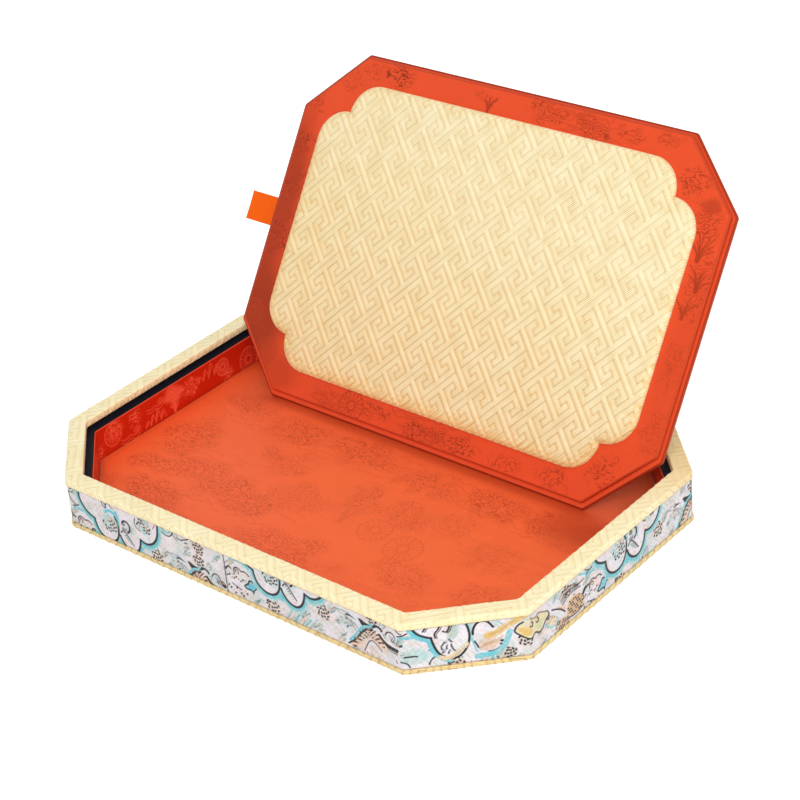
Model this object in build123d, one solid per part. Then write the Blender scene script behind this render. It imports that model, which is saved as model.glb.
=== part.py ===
from build123d import *
import os
from math import atan2, cos, degrees, radians, sin, sqrt

# A flat presentation box: an eight-sided tray of greyboard wrapped in brocade, with a recess
# in its rim, and a loose lid panel that carries a low cushion and a ribbon tab. The lid stands
# on the tray's floor and leans back, as it does when the box is shown open.
# Frame: X along the long side, Y from front to back, Z up, origin under the middle of the base.

# Cloth, paper and board
brocade = 0.4
jacquard = 0.4
recess_cloth = 0.4
paper = 0.4
wall_board = 2.0
floor_board = 2.0

# Tray, outside
box_length = 300.0
box_width = 215.0
corner_cut = 41.4
tray_height = 28.0
base_height = 2.4
base_turn_in = 15.0
wall_setback = 0.9

# Rim, recess and ledge
rim_setback = 0.45
rim_width = 9.05
rim_height = 3.8
recess_depth = 5.9
ledge_width = 3.7
ledge_board = 1.6
lining_gap = 0.2

# Inner tray
floor_gap = 0.3

# Lid
lid_clearance = 2.4
board_margin = 2.5
lid_board = 1.3
lid_turn_in = 14.0
back_sheet_margin = 4.0
face_board_lift = 0.8
lid_lean = 33.7
lid_stand = 38.2
lid_offset = 0.7
stand_clearance = 0.05

# Cushion
cushion_border_x = 15.4
cushion_border_y = 13.8
cushion_height = 3.7
lobe_radius = 17.0
cushion_card = 0.8
card_setback = 1.2
dome_rise = 0.8
edge_rounding = 2.4
rounding_steps = 4

# Ribbon tab
ribbon_width = 16.0
ribbon_reach = 19.6
ribbon_thickness = 0.4
ribbon_root_length = 22.0
ribbon_hinge_gap = 0.3
ribbon_cover_margin = 1.5

# Shared
fold_radius = 0.7
cut_overrun = 1.0
quarter_turn = 90
corner_leg_share = 2 - sqrt(2)
side_names = ("front", "front_right", "right", "back_right", "back", "back_left", "left", "front_left")


def corners(length, width, cut, inset=0):
    """Corner points of a rectangle with its corners cut at 45 degrees, drawn in by inset."""
    x = length / 2 - inset
    y = width / 2 - inset
    leg = cut - corner_leg_share * inset
    return [
        (-x + leg, -y), (x - leg, -y), (x, -y + leg), (x, y - leg),
        (x - leg, y), (-x + leg, y), (-x, y - leg), (-x, -y + leg),
    ]


def prism(points, bottom, top):
    """Upright solid on a closed outline of straight sides."""
    face = make_face(Polyline(*points, close=True))
    return extrude(Pos(0, 0, bottom) * face, amount=top - bottom)


def tray_plate(inset, bottom, top):
    return prism(corners(box_length, box_width, corner_cut, inset), bottom, top)


def tray_ring(outer, inner, bottom, top):
    """Ring that follows the tray's outline between two insets."""
    hole = tray_plate(inner, bottom - cut_overrun, top + cut_overrun)
    return tray_plate(outer, bottom, top) - hole


def folded(plate):
    """Plate with the soft edges that cloth makes where it folds over a board."""
    level = plate.edges().filter_by(Axis.Z, reverse=True)
    return fillet(level, radius=fold_radius)


def wrapped(outside, core, field):
    """Cloth skin on a board: folded at the edges, turned in at the back round an open field."""
    return folded(outside) - core - field


def mitred_boards(outer, inner, bottom, top):
    """Eight wall boards between two insets, each mitred to its neighbours."""
    far = corners(box_length, box_width, corner_cut, outer)
    near = corners(box_length, box_width, corner_cut, inner)
    boards = []
    for side in range(len(far)):
        following = (side + 1) % len(far)
        outline = [far[side], far[following], near[following], near[side]]
        boards.append(prism(outline, bottom, top))
    return boards


parts = {}

# Heights of the tray's layers
rim_bottom = tray_height - rim_height
ledge_top = tray_height - recess_depth
ledge_board_top = ledge_top - recess_cloth
inner_wall_top = ledge_board_top - ledge_board
floor_card_top = base_height + floor_board
floor_top = floor_card_top + jacquard

# Insets of the tray's walls
wall_outer = wall_setback + brocade
wall_inner = wall_outer + wall_board
rim_inner = rim_setback + rim_width
riser_inner = rim_inner - recess_cloth
ledge_inner = rim_inner + ledge_width
lining_outer = ledge_inner + lining_gap
lining_inner = lining_outer + jacquard
inner_wall_outer = lining_outer - wall_board

# Base: a board, the brocade turned round its edge and the sheet pasted under it
base_core = tray_plate(brocade, brocade, base_height - brocade)
base_field = tray_plate(base_turn_in, -cut_overrun, base_height + cut_overrun)
parts["base_board"] = base_core
parts["base_wrap"] = wrapped(tray_plate(0, 0, base_height), base_core, base_field)
parts["base_sheet"] = tray_plate(base_turn_in, brocade - paper, brocade)

# Outer walls and the figured band round them
for name, board in zip(side_names, mitred_boards(wall_outer, wall_inner, base_height, rim_bottom)):
    parts["wall_" + name] = board
parts["side_band"] = tray_ring(wall_setback, wall_outer, base_height, rim_bottom)

# Ledge and riser frames, their black cloth, and the rim with its cover
parts["ledge_frame"] = tray_ring(wall_inner, ledge_inner, inner_wall_top, ledge_board_top)
parts["riser_frame"] = tray_ring(wall_inner, riser_inner, ledge_board_top, rim_bottom)
ledge_cloth = tray_ring(riser_inner, ledge_inner, ledge_board_top, ledge_top)
riser_cloth = tray_ring(riser_inner, rim_inner, ledge_top, rim_bottom)
parts["recess_lining"] = ledge_cloth + riser_cloth
rim_core = tray_ring(rim_setback + brocade, riser_inner, rim_bottom, tray_height - brocade)
parts["rim_frame"] = rim_core
rim_skin = tray_ring(rim_setback, rim_inner, rim_bottom, tray_height)
rim_skin = fillet(rim_skin.edges().group_by(Axis.Z)[-1], radius=fold_radius)
parts["rim_cover"] = rim_skin - rim_core

# Inner tray: floor card, its lining, the inner walls and theirs
parts["floor_card"] = tray_plate(inner_wall_outer, base_height, floor_card_top)
parts["floor_lining"] = tray_plate(lining_inner + floor_gap, floor_card_top, floor_top)
inner_walls = mitred_boards(inner_wall_outer, lining_outer, floor_card_top, inner_wall_top)
for name, board in zip(side_names, inner_walls):
    parts["inner_wall_" + name] = board
parts["inner_lining"] = tray_ring(lining_outer, lining_inner, floor_card_top, ledge_top)

# Lid, drawn flat: x along the box, y up the lid, z out of its face, zero at the face cloth
lid_length = box_length - 2 * rim_inner - 2 * lid_clearance
lid_width = box_width - 2 * rim_inner - 2 * lid_clearance
lid_cut = corner_cut - corner_leg_share * (rim_inner + lid_clearance)
panel_depth = lid_board + 2 * jacquard
lid_depth = 2 * panel_depth


def lid_plate(inset, back, front):
    return prism(corners(lid_length, lid_width, lid_cut, inset), back, front)


def face_plate(inset, back, front):
    """Plate on the face panel's outline, which sits a little high on the back panel."""
    return Pos(0, face_board_lift, 0) * lid_plate(board_margin + inset, back, front)


lid_parts = {}
for name, plate, front in (("face", face_plate, 0), ("back", lid_plate, -panel_depth)):
    back = front - panel_depth
    core = plate(jacquard, back + jacquard, front - jacquard)
    field = plate(lid_turn_in, back - cut_overrun, back + jacquard)
    lid_parts[f"lid_{name}_board"] = core
    lid_parts[f"lid_{name}_wrap"] = wrapped(plate(0, back, front), core, field)

# Ribbon tab: the root is pasted on the back under the sheet, the free end folds at the edge
ribbon_back = -lid_depth - ribbon_thickness
lid_edge = -lid_length / 2
root = Box(
    ribbon_root_length, ribbon_width, ribbon_thickness,
    align=(Align.MIN, Align.CENTER, Align.MIN),
)
lid_parts["ribbon_root"] = Pos(lid_edge, 0, ribbon_back) * root
free_end = Box(
    ribbon_reach - ribbon_hinge_gap, ribbon_width, ribbon_thickness,
    align=(Align.MAX, Align.CENTER, Align.MIN),
)
lid_parts["pull_ribbon"] = Pos(lid_edge - ribbon_hinge_gap, 0, ribbon_back) * free_end

# Back sheet, which rises over the ribbon's root
sheet = lid_plate(back_sheet_margin, -lid_depth - paper, -lid_depth)
rise = Box(
    ribbon_root_length - back_sheet_margin + ribbon_cover_margin,
    ribbon_width + 2 * ribbon_cover_margin,
    ribbon_thickness + paper,
    align=(Align.MIN, Align.CENTER, Align.MAX),
)
sheet_rise = Pos(lid_edge + back_sheet_margin, 0, -lid_depth) * rise
lid_parts["lid_back_sheet"] = sheet + sheet_rise - lid_parts["ribbon_root"]

# Cushion: its outline is a rectangle whose corners are two quarter circles that meet in a cusp
cushion_x = lid_length / 2 - board_margin - cushion_border_x
cushion_y = lid_width / 2 - board_margin - cushion_border_y
crown_radius = (cushion_x**2 + dome_rise**2) / (2 * dome_rise)


def cushion_face(inset):
    """Cushion outline drawn in by inset: the lobes keep their centres and the cusps move in."""
    radius = lobe_radius - inset
    cusp = sqrt(radius**2 - lobe_radius**2 / 2) / sqrt(2)
    turn = degrees(atan2(lobe_radius / 2 + cusp, cusp - lobe_radius / 2))
    side_lobe = (cushion_x - lobe_radius, cushion_y - 2 * lobe_radius)
    end_lobe = (cushion_x - 2 * lobe_radius, cushion_y - lobe_radius)
    corner = [
        CenterArc(side_lobe, radius, 0, turn),
        CenterArc(end_lobe, radius, quarter_turn - turn, turn),
    ]
    corner += [mirror(arc, about=Plane.YZ) for arc in corner]
    corner += [mirror(arc, about=Plane.XZ) for arc in corner]
    straight_x = cushion_x - inset
    straight_y = cushion_y - inset
    sides = []
    for sign in (-1, 1):
        end = (sign * straight_x, side_lobe[1])
        sides.append(Line((end[0], -end[1]), end))
        end = (end_lobe[0], sign * straight_y)
        sides.append(Line((-end[0], end[1]), end))
    return make_face(Curve() + corner + sides)


def crowned_pad(inset, height, rounding):
    """Pad on the cushion's outline: its edge rounds over in rings and its top is a low dome."""
    rings = [cushion_face(inset)]
    for step in range(rounding_steps + 1):
        angle = radians(quarter_turn * step / rounding_steps)
        ring = cushion_face(inset + rounding * (1 - cos(angle)))
        rings.append(Pos(0, 0, height - rounding + rounding * sin(angle)) * ring)
    dome = Pos(0, 0, height - crown_radius) * Rot(quarter_turn, 0, 0) * Sphere(crown_radius)
    return loft(rings, ruled=True) & dome


card = extrude(cushion_face(card_setback), amount=cushion_card)
filling = crowned_pad(brocade, cushion_height - brocade, edge_rounding - brocade)
cushion = crowned_pad(0, cushion_height, edge_rounding)
cushion_place = Pos(0, face_board_lift, 0)
lid_parts["cushion_card"] = cushion_place * card
lid_parts["cushion_wadding"] = cushion_place * (filling - card)
lid_parts["cushion_cover"] = cushion_place * (cushion - filling)

# The lid stands on its folded back lower edge on the tray's floor and leans back
lean = radians(lid_lean)
face_normal = Vector(0, -cos(lean), sin(lean))
up_lid = Vector(0, sin(lean), cos(lean))
fold_sink = fold_radius * (cos(lean) + sin(lean) - 1)
foot = Vector(lid_offset, lid_stand, floor_top + stand_clearance - fold_sink)
lid_origin = foot + up_lid * (lid_width / 2) + face_normal * lid_depth
lid_plane = Plane(origin=lid_origin, x_dir=(1, 0, 0), z_dir=face_normal)
for name, shape in lid_parts.items():
    parts[name] = lid_plane.location * shape

os.makedirs("parts", exist_ok=True)
for name, shape in parts.items():
    export_step(shape, f"parts/{name}.step")

# Places that the joints and the cavity boxes are taken from
ribbon_hinge = lid_plane.location * Pos(
    lid_edge - ribbon_hinge_gap, 0, ribbon_back + ribbon_thickness / 2
)
print("nodes", len(parts))
print("floor top", round(floor_top, 3), "ledge top", round(ledge_top, 3), "recess inset", rim_inner)
print("closed height", round(ledge_top + lid_depth + cushion_height, 3))
print("lid", round(lid_length, 3), round(lid_width, 3), "cut", round(lid_cut, 3))
print("lid origin", lid_origin, "up", up_lid, "normal", face_normal)
print("ribbon hinge", ribbon_hinge.position)
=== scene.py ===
import bpy
import math
import numpy as np
from mathutils import Matrix


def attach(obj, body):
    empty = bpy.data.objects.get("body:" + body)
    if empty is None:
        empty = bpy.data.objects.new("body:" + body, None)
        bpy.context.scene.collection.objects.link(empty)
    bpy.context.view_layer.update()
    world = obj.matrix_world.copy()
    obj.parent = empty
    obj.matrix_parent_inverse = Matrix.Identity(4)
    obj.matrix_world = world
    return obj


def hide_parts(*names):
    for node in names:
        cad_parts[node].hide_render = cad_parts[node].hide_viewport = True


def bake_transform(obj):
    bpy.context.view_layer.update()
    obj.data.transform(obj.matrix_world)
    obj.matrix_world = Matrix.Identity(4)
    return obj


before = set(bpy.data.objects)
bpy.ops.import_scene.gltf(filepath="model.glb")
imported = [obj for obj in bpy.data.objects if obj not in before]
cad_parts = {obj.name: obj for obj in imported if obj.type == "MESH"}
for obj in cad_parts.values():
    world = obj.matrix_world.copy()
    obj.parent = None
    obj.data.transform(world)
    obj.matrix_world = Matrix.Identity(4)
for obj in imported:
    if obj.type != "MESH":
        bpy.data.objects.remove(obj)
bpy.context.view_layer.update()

# The scene dresses an eight-sided brocade box: a tray with a cream rim and a figured band, and a
# loose lid panel with a low cushion and a ribbon tab. Lengths are in millimetres until a piece's
# mesh is made. The tray's pieces are worked out by inset, which is measured inwards from the
# base's edge, and by height. The lid's are worked out flat, x along the box, y up the lid and z
# out of its face, and then laid on the leaning lid.
MM = 0.001

# Tray
BOX_X, BOX_Y, CORNER = 150.0, 107.5, 41.4
TRAY_TOP, RIM_BOTTOM, LEDGE_TOP = 28.0, 24.2, 22.1
BASE_TOP, BASE_TURN_IN = 2.4, 15.0
BAND_FACE, BAND_BACK = 0.9, 1.3
RIM_OUTER, RIM_INNER = 0.45, 9.5
LEDGE_INNER, LINING_OUTER, LINING_INNER = 13.2, 13.4, 13.8
FLOOR_CARD, FLOOR_TOP, FLOOR_INSET = 4.4, 4.8, 14.1
CLOTH = 0.4
FOLD = 0.7
CORNER_SHARE = 2 - math.sqrt(2)
EASE_POINTS = 6
FAR = 99.0

# Lid
LID_X, LID_Y, LID_CORNER = 138.1, 95.6, 34.4301
FACE_INSET, FACE_LIFT = 2.5, 0.8
PANEL, LID_DEPTH, TURN_IN = 2.1, 4.2, 14.0
LID_ORIGIN = np.array([0.7, 87.7489, 86.4444])
LEAN = math.radians(33.7)
LID_UP = np.array([0, math.sin(LEAN), math.cos(LEAN)])
LID_OUT = np.array([0, -math.cos(LEAN), math.sin(LEAN)])

# Cushion
PAD_X, PAD_Y, LOBE = 120.2, 79.3, 17.0
PAD_HEIGHT, PAD_DOME, PAD_ROUND = 3.7, 0.8, 2.4

# Ribbon
RIBBON_WIDTH, RIBBON_THICK, RIBBON_REACH, RIBBON_ROOT = 16.0, 0.4, 19.6, 22.0
RIBBON_ROWS, RIBBON_COLUMNS = 84, 33
HINGE_GAP, BLEND_BEFORE, BLEND_AFTER = 0.3, 0.6, 2.4

# Meshes: how far before and after a corner each cloth's path is eased, and the steps along it.
# The lid's rings are given by their reach inwards and their number.
RIM_EASE, RIM_STEP = 1.2, 0.45
BASE_EASE, BASE_STEP = 1.0, 0.5
BAND_EASE, BAND_STEP, BAND_ROWS = 1.4, 0.3, 76
RECESS_EASE, RECESS_STEP = 1.2, 0.9
WALL_EASE, WALL_STEP, WALL_ROWS = 1.0, 0.46, 34
LID_EASE, LID_STEP = 1.0, 0.64
SHOWN_RINGS, HIDDEN_RINGS = (24.0, 46), (14.0, 8)
FLOOR_CELL, PAD_CELL, PAD_COLUMNS = 0.74, 0.5, 468


def srgb(red, green, blue):
    """A colour written as 0 to 255 on a screen, as linear light."""
    value = np.array([red, green, blue]) / 255
    return np.where(value <= 0.04045, value / 12.92, ((value + 0.055) / 1.055) ** 2.4)


def smooth_step(value, low, high):
    """0 below low, 1 above high, and an S-shaped rise between them."""
    t = np.clip((value - low) / (high - low), 0, 1)
    return t * t * (3 - 2 * t)


def ripple(x, y, length, seed):
    """Soft random waves from -1 to 1: six sines whose lengths and directions are drawn at random."""
    draw = np.random.default_rng(seed)
    total = np.zeros(np.broadcast(x, y).shape)
    for _ in range(6):
        angle, phase = draw.uniform(0, 2 * math.pi, 2)
        wave = 2 * math.pi / (length * draw.uniform(0.6, 1.7))
        total += np.sin(wave * (x * math.cos(angle) + y * math.sin(angle)) + phase)
    return total / 6


# Outlines

def eight_corners(half_x, half_y, leg, inset=0.0):
    """Corner points of a rectangle with its corners cut at 45 degrees, drawn in by inset."""
    x, y, cut = half_x - inset, half_y - inset, leg - CORNER_SHARE * inset
    return np.array([
        (-x + cut, -y), (x - cut, -y), (x, -y + cut), (x, y - cut),
        (x - cut, y), (-x + cut, y), (-x, y - cut), (-x, -y + cut),
    ])


def eight_sided_path(half_x, half_y, leg, turn, step):
    """Path round an eight-sided outline whose corners are eased by a quadratic curve between the
    points that lie turn before and after each corner. Gives for each point its place at no inset,
    its move for each unit of inset, and the length along the path."""
    corner = eight_corners(half_x, half_y, leg)
    mitre = eight_corners(half_x, half_y, leg, 1.0) - corner
    places, moves = [], []
    eased = np.linspace(0, 1, EASE_POINTS + 1)[:-1]
    for k in range(8):
        start, end = corner[k], corner[(k + 1) % 8]
        length = np.linalg.norm(end - start)
        along = (end - start) / length
        before = corner[k] - corner[k - 1]
        before = before / np.linalg.norm(before)
        a, b = start - turn * before, start + turn * along
        t = eased[:, None]
        places.append((1 - t) ** 2 * a + 2 * t * (1 - t) * start + t ** 2 * b)
        moves.append(np.repeat(mitre[k][None], len(eased), 0))
        count = max(2, int(math.ceil((length - 2 * turn) / step)))
        t = (np.arange(count) / count)[:, None]
        places.append(b + t * (end - turn * along - b))
        share = (turn + t * (length - 2 * turn)) / length
        moves.append(mitre[k] + share * (mitre[(k + 1) % 8] - mitre[k]))
    places, moves = np.concatenate(places), np.concatenate(moves)
    first = EASE_POINTS // 2
    places, moves = np.roll(places, -first, 0), np.roll(moves, -first, 0)
    gaps = np.linalg.norm(np.roll(places, -1, 0) - places, axis=1)
    return places, moves, np.concatenate([[0], np.cumsum(gaps)[:-1]])


def outward_of(moves):
    """Unit directions that point out of a path, against its moves."""
    return -moves / np.linalg.norm(moves, axis=1, keepdims=True)


def length_along(profile):
    """Length of a profile from its first point to each of its points."""
    steps = np.linalg.norm(np.diff(profile, axis=0), axis=1)
    return np.concatenate([[0], np.cumsum(steps)])


def arc_points(centre, radius, start, end, count):
    """Points on an arc, by angles in degrees."""
    angle = np.radians(np.linspace(start, end, count))
    return np.stack([centre[0] + radius * np.cos(angle), centre[1] + radius * np.sin(angle)], 1)


# Meshes

def grid_quads(rows, columns, closed_rows=False, closed_columns=False):
    """Four-cornered faces between the points of a grid, row by row."""
    i = np.arange(rows if closed_rows else rows - 1)
    j = np.arange(columns if closed_columns else columns - 1)
    i, j = np.meshgrid(i, j, indexing="ij")
    i2, j2 = (i + 1) % rows, (j + 1) % columns
    quads = [i * columns + j, i2 * columns + j, i2 * columns + j2, i * columns + j2]
    return np.stack(quads, -1).reshape(-1, 4)


def volume_of(points, faces):
    """Signed volume of a closed mesh: each face is cut into a fan of triangles."""
    total = 0.0
    for size in {len(f) for f in faces}:
        same = np.array([f for f in faces if len(f) == size])
        a = points[same[:, 0]]
        for k in range(1, size - 1):
            total += np.einsum("ij,ij->", a, np.cross(points[same[:, k]], points[same[:, k + 1]]))
    return total / 6


def on_lid(points):
    """Flat lid points, laid on the leaning lid."""
    across = np.array([1.0, 0, 0])
    return LID_ORIGIN + points[:, :1] * across + points[:, 1:2] * LID_UP + points[:, 2:] * LID_OUT


def make_piece(name, points, faces, finish, body, slot, cloth=None, values=None, paint=None, lid=False):
    """A closed piece from points in millimetres, laid on the lid where lid is set. Its faces are
    turned outwards by the sign of its volume. cloth is the place of each point on its cloth,
    values are numbers for each point that the finish reads, and paint is its colour."""
    points = np.asarray(points, float).reshape(-1, 3)
    if lid:
        points = on_lid(points)
    faces = [list(f) for f in (faces.tolist() if isinstance(faces, np.ndarray) else faces)]
    if volume_of(points, faces) < 0:
        faces = [f[::-1] for f in faces]
    mesh = bpy.data.meshes.new(name)
    mesh.from_pydata((points * MM).tolist(), [], faces)
    corner_points = np.zeros(len(mesh.loops), np.int32)
    mesh.loops.foreach_get("vertex_index", corner_points)
    if cloth is not None:
        layer = mesh.uv_layers.new(name="cloth")
        layer.data.foreach_set("uv", np.asarray(cloth, np.float32).reshape(-1,
                                                                           2)[corner_points].ravel())
    for key, value in (values or {}).items():
        layer = mesh.attributes.new(key, "FLOAT", "POINT")
        layer.data.foreach_set("value", np.asarray(value, np.float32).ravel())
    if paint is not None:
        tints = np.ones((len(points), 4), np.float32)
        tints[:, :3] = np.asarray(paint).reshape(-1, 3)
        layer = mesh.color_attributes.new("paint", "FLOAT_COLOR", "POINT")
        layer.data.foreach_set("color", tints.ravel())
    mesh.polygons.foreach_set("use_smooth", np.ones(len(mesh.polygons), bool))
    mesh.update()
    piece = bpy.data.objects.new(name, mesh)
    bpy.context.scene.collection.objects.link(piece)
    mesh.materials.append(finish)
    if body:
        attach(piece, body)
    return piece


def profile_normals(profile):
    """Unit normals of a closed profile of inset and height, to its left as it runs."""
    along = np.roll(profile, -1, 0) - np.roll(profile, 1, 0)
    along = along / np.maximum(np.linalg.norm(along, axis=1, keepdims=True), 1e-9)
    return np.stack([-along[:, 1], along[:, 0]], 1)


def swept(path, profile):
    """A profile of inset and height, carried round a path: point = place + inset * move, height."""
    places, moves, _ = path
    profile = np.broadcast_to(profile, (len(places),) + profile.shape[-2:])
    flat = places[:, None] + profile[..., :1] * moves[:, None]
    return np.concatenate([flat, profile[..., 1:]], -1)


# Key fret: the grooves of the cream brocade

FRET_X, FRET_Y = 18.72, 21.17
FRET_TILT = math.radians(0.9)
FRET_CELLS = 16
FRET_SHIFT = (0.12, 0.55)
FRET_LINES = [
    [(4, 0), (4, 7)], [(1, 0), (7, 0)], [(5, 3), (11, 3)],
    [(7, 0), (7, 2), (6, 2), (6, 1), (5, 1), (5, 3)],
    [(1, 0), (1, 2), (2, 2), (2, 1), (3, 1), (3, 3)],
]
FRET_TABLE = (256, 288)

# The brocade's relief: half widths of its grooves and its bar, how deep each groove dips, the
# most that they dip together, and how high the bar stands, as shares of the relief's depth
GROOVE_HALF, FOLD_HALF, BAR_HALF = 0.4, 0.6, 1.5
GROOVE_DIP, FOLD_DIP, MOST_DIP, BAR_RISE = 0.55, 0.7, 0.8, 0.35

# Its tones: half widths of the two kinds of groove, and where the bar's tone fades
GROOVE_TONE, FOLD_TONE = 0.26, 0.5
BAR_TONE = (1.1, 1.7)


def fret_place(a, b):
    """A point of the fret's slanting grid, in millimetres across and up the cloth."""
    a, b = 2 * a + FRET_SHIFT[0], 2 * b + FRET_SHIFT[1]
    return (a + b) * FRET_X / FRET_CELLS, -(a - b) * FRET_Y / FRET_CELLS


def fret_tables():
    """For one repeat of the fret, the distance to the nearest groove that runs with the ribs, to
    the nearest that crosses them, and to the middle of the nearest smooth bar. A distance is the
    least one to any straight piece."""
    across, up = np.meshgrid(
        np.arange(FRET_TABLE[0]) / FRET_TABLE[0] * FRET_X,
        -np.arange(FRET_TABLE[1]) / FRET_TABLE[1] * FRET_Y, indexing="ij")
    ribbed, crossing, bar = (np.full(across.shape, FAR) for _ in range(3))

    def away(p, q):
        d = q - p
        t = np.clip(((across - p[0]) * d[0] + (up - p[1]) * d[1]) / (d @ d), 0, 1)
        return np.hypot(across - p[0] - t * d[0], up - p[1] - t * d[1])

    for i in range(-3, 4):
        for j in range(-3, 4):
            shift = np.array([4 * i + 4 * j, 4 * i - 4 * j])
            for line in FRET_LINES:
                ends = [np.array(fret_place(*(np.array(p) + shift))) for p in line]
                for p, q in zip(ends[:-1], ends[1:]):
                    with_ribs = (q - p)[0] * (q - p)[1] > 0
                    if with_ribs:
                        ribbed = np.minimum(ribbed, away(p, q))
                    else:
                        crossing = np.minimum(crossing, away(p, q))
            ends = [np.array(fret_place(a + shift[0], -0.5 + shift[1])) for a in (1, 7)]
            bar = np.minimum(bar, away(*ends))
    return ribbed, crossing, bar


FRET_PARTS = fret_tables()


def fret(x, y, origin=(78.02, 25.13)):
    """The three tables of the fret at places on the cloth, read between their four nearest
    entries."""
    x, y = x - origin[0], y - origin[1]
    across = x * math.cos(FRET_TILT) + y * math.sin(FRET_TILT)
    up = y * math.cos(FRET_TILT) - x * math.sin(FRET_TILT)
    u = across / FRET_X * FRET_TABLE[0] % FRET_TABLE[0]
    v = -up / FRET_Y * FRET_TABLE[1] % FRET_TABLE[1]
    i, j = np.floor(u).astype(int) % FRET_TABLE[0], np.floor(v).astype(int) % FRET_TABLE[1]
    i2, j2 = (i + 1) % FRET_TABLE[0], (j + 1) % FRET_TABLE[1]
    f, g = u - np.floor(u), v - np.floor(v)
    found = []
    for table in FRET_PARTS:
        found.append(
            table[i, j] * (1 - f) * (1 - g) + table[i2, j] * f * (1 - g)
            + table[i, j2] * (1 - f) * g + table[i2, j2] * f * g)
    return found


def fret_relief(ribbed, crossing, bar, depth):
    """Height of the brocade: 1, less a narrow dip along the ribbed grooves and a wider one along
    those that cross them, plus a low round ridge over each smooth bar, all times depth."""
    ridge = np.sqrt(np.clip(1 - (bar / BAR_HALF) ** 2, 0, 1))
    narrow, wide = np.exp(-(ribbed / GROOVE_HALF) ** 2), np.exp(-(crossing / FOLD_HALF) ** 2)
    dips = GROOVE_DIP * narrow + FOLD_DIP * wide
    return depth * (1 - np.minimum(dips, MOST_DIP) + BAR_RISE * ridge)


def groove_values(ribbed, crossing, bar, strength=1.0):
    """Tones for the cream finish: the thin grooves, the soft ones across them, and the bars."""
    return {
        "groove": strength * np.exp(-(ribbed / GROOVE_TONE) ** 2),
        "fold": strength * np.exp(-(crossing / FOLD_TONE) ** 2),
        "bar": 1 - smooth_step(bar, *BAR_TONE)}


# Woven figures, painted on a cloth's points

class Cloth:
    """The points of a cloth, x along it and y across it, with a colour and a raised height for
    each. line, patch and dot lay threads of a colour over what is there, at places counted from
    the cloth's start."""

    def __init__(self, x, y, ground, edge=0.16):
        self.x, self.y = x.ravel(), y.ravel()
        self.start = np.zeros(2)
        self.colour = np.repeat(np.asarray(ground, float)[None], self.x.size, 0)
        self.height = np.zeros(self.x.size)
        self.edge = edge

    def near(self, points, margin):
        low, high = points.min(0) - margin, points.max(0) + margin
        return np.nonzero(
            (self.x > low[0]) & (self.x < high[0]) & (self.y > low[1]) & (self.y < high[1]))[0]

    def lay(self, index, cover, colour, lift):
        cover = cover[:, None]
        self.colour[index] = self.colour[index] * (1 - cover) + cover * colour
        self.height[index] = np.maximum(self.height[index], lift * cover[:, 0])

    def line(self, points, width, colour, lift=0.08, rounds=3):
        """A line of thread: its cover falls from 1 to 0 at half its width from the nearest
        straight piece of the rounded line through the points."""
        points = rounded_line(points, rounds) + self.start
        index = self.near(points, width)
        if not index.size:
            return
        x, y = self.x[index], self.y[index]
        away = np.full(index.size, FAR)
        for p, q in zip(points[:-1], points[1:]):
            d = q - p
            t = np.clip(((x - p[0]) * d[0] + (y - p[1]) * d[1]) / max(d @ d, 1e-9), 0, 1)
            away = np.minimum(away, np.hypot(x - p[0] - t * d[0], y - p[1] - t * d[1]))
        self.lay(index, 1 - smooth_step(away, width / 2 - self.edge, width / 2 + self.edge), colour,
                 lift)

    def patch(self, points, colour, lift=0.0, soft=0.0, rounds=3, cover=1.0):
        """A filled shape. A point is inside where a ray from it crosses the outline an odd number
        of times, and the cover fades over the edge."""
        points = rounded_line(list(points) + [points[0]], rounds) + self.start
        fade = max(self.edge, soft)
        index = self.near(points, fade)
        if not index.size:
            return
        x, y = self.x[index], self.y[index]
        inside = np.zeros(index.size, bool)
        away = np.full(index.size, FAR)
        for p, q in zip(points[:-1], points[1:]):
            d = q - p
            t = np.clip(((x - p[0]) * d[0] + (y - p[1]) * d[1]) / max(d @ d, 1e-9), 0, 1)
            away = np.minimum(away, np.hypot(x - p[0] - t * d[0], y - p[1] - t * d[1]))
            crosses = (p[1] > y) != (q[1] > y)
            if abs(d[1]) > 1e-12:
                inside ^= crosses & (x < p[0] + (y - p[1]) / d[1] * d[0])
        away = np.where(inside, away, -away)
        self.lay(index, cover * smooth_step(away, -fade, fade), colour, lift)

    def dot(self, x, y, radius, colour, lift=0.08, stretch=1.0, turn=0.0, soft=0.0, cover=1.0):
        """An oval, stretched along its turn in degrees."""
        fade = max(self.edge, soft)
        x, y = x + self.start[0], y + self.start[1]
        index = self.near(np.array([[x, y]]), radius * max(stretch, 1) + fade)
        if not index.size:
            return
        c, s = math.cos(math.radians(turn)), math.sin(math.radians(turn))
        u, v = self.x[index] - x, self.y[index] - y
        away = np.hypot((u * c + v * s) / stretch, v * c - u * s)
        self.lay(index, cover * (1 - smooth_step(away, radius - fade, radius + fade)), colour, lift)


def rounded_line(points, rounds):
    """A line through points whose corners are cut again and again, with its ends kept."""
    points = np.asarray(points, float)
    for _ in range(rounds if len(points) > 2 else 0):
        a = points[:-1] * 0.75 + points[1:] * 0.25
        b = points[:-1] * 0.25 + points[1:] * 0.75
        middle = np.stack([a, b], 1).reshape(-1, 2)
        points = np.concatenate([points[:1], middle, points[-1:]])
    return points


INK = srgb(16, 8, 14)
TEAL = srgb(106, 210, 226)
PALE_TEAL = srgb(178, 226, 228)
GROUND = srgb(250, 244, 254)
SAGE = srgb(168, 198, 178)
OCHRE = srgb(206, 162, 106)
PEACH = srgb(244, 210, 190)
BROWN = srgb(84, 46, 34)
GOLD = srgb(240, 202, 112)
SLATE = srgb(112, 136, 158)
WHITE = srgb(255, 253, 250)

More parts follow.
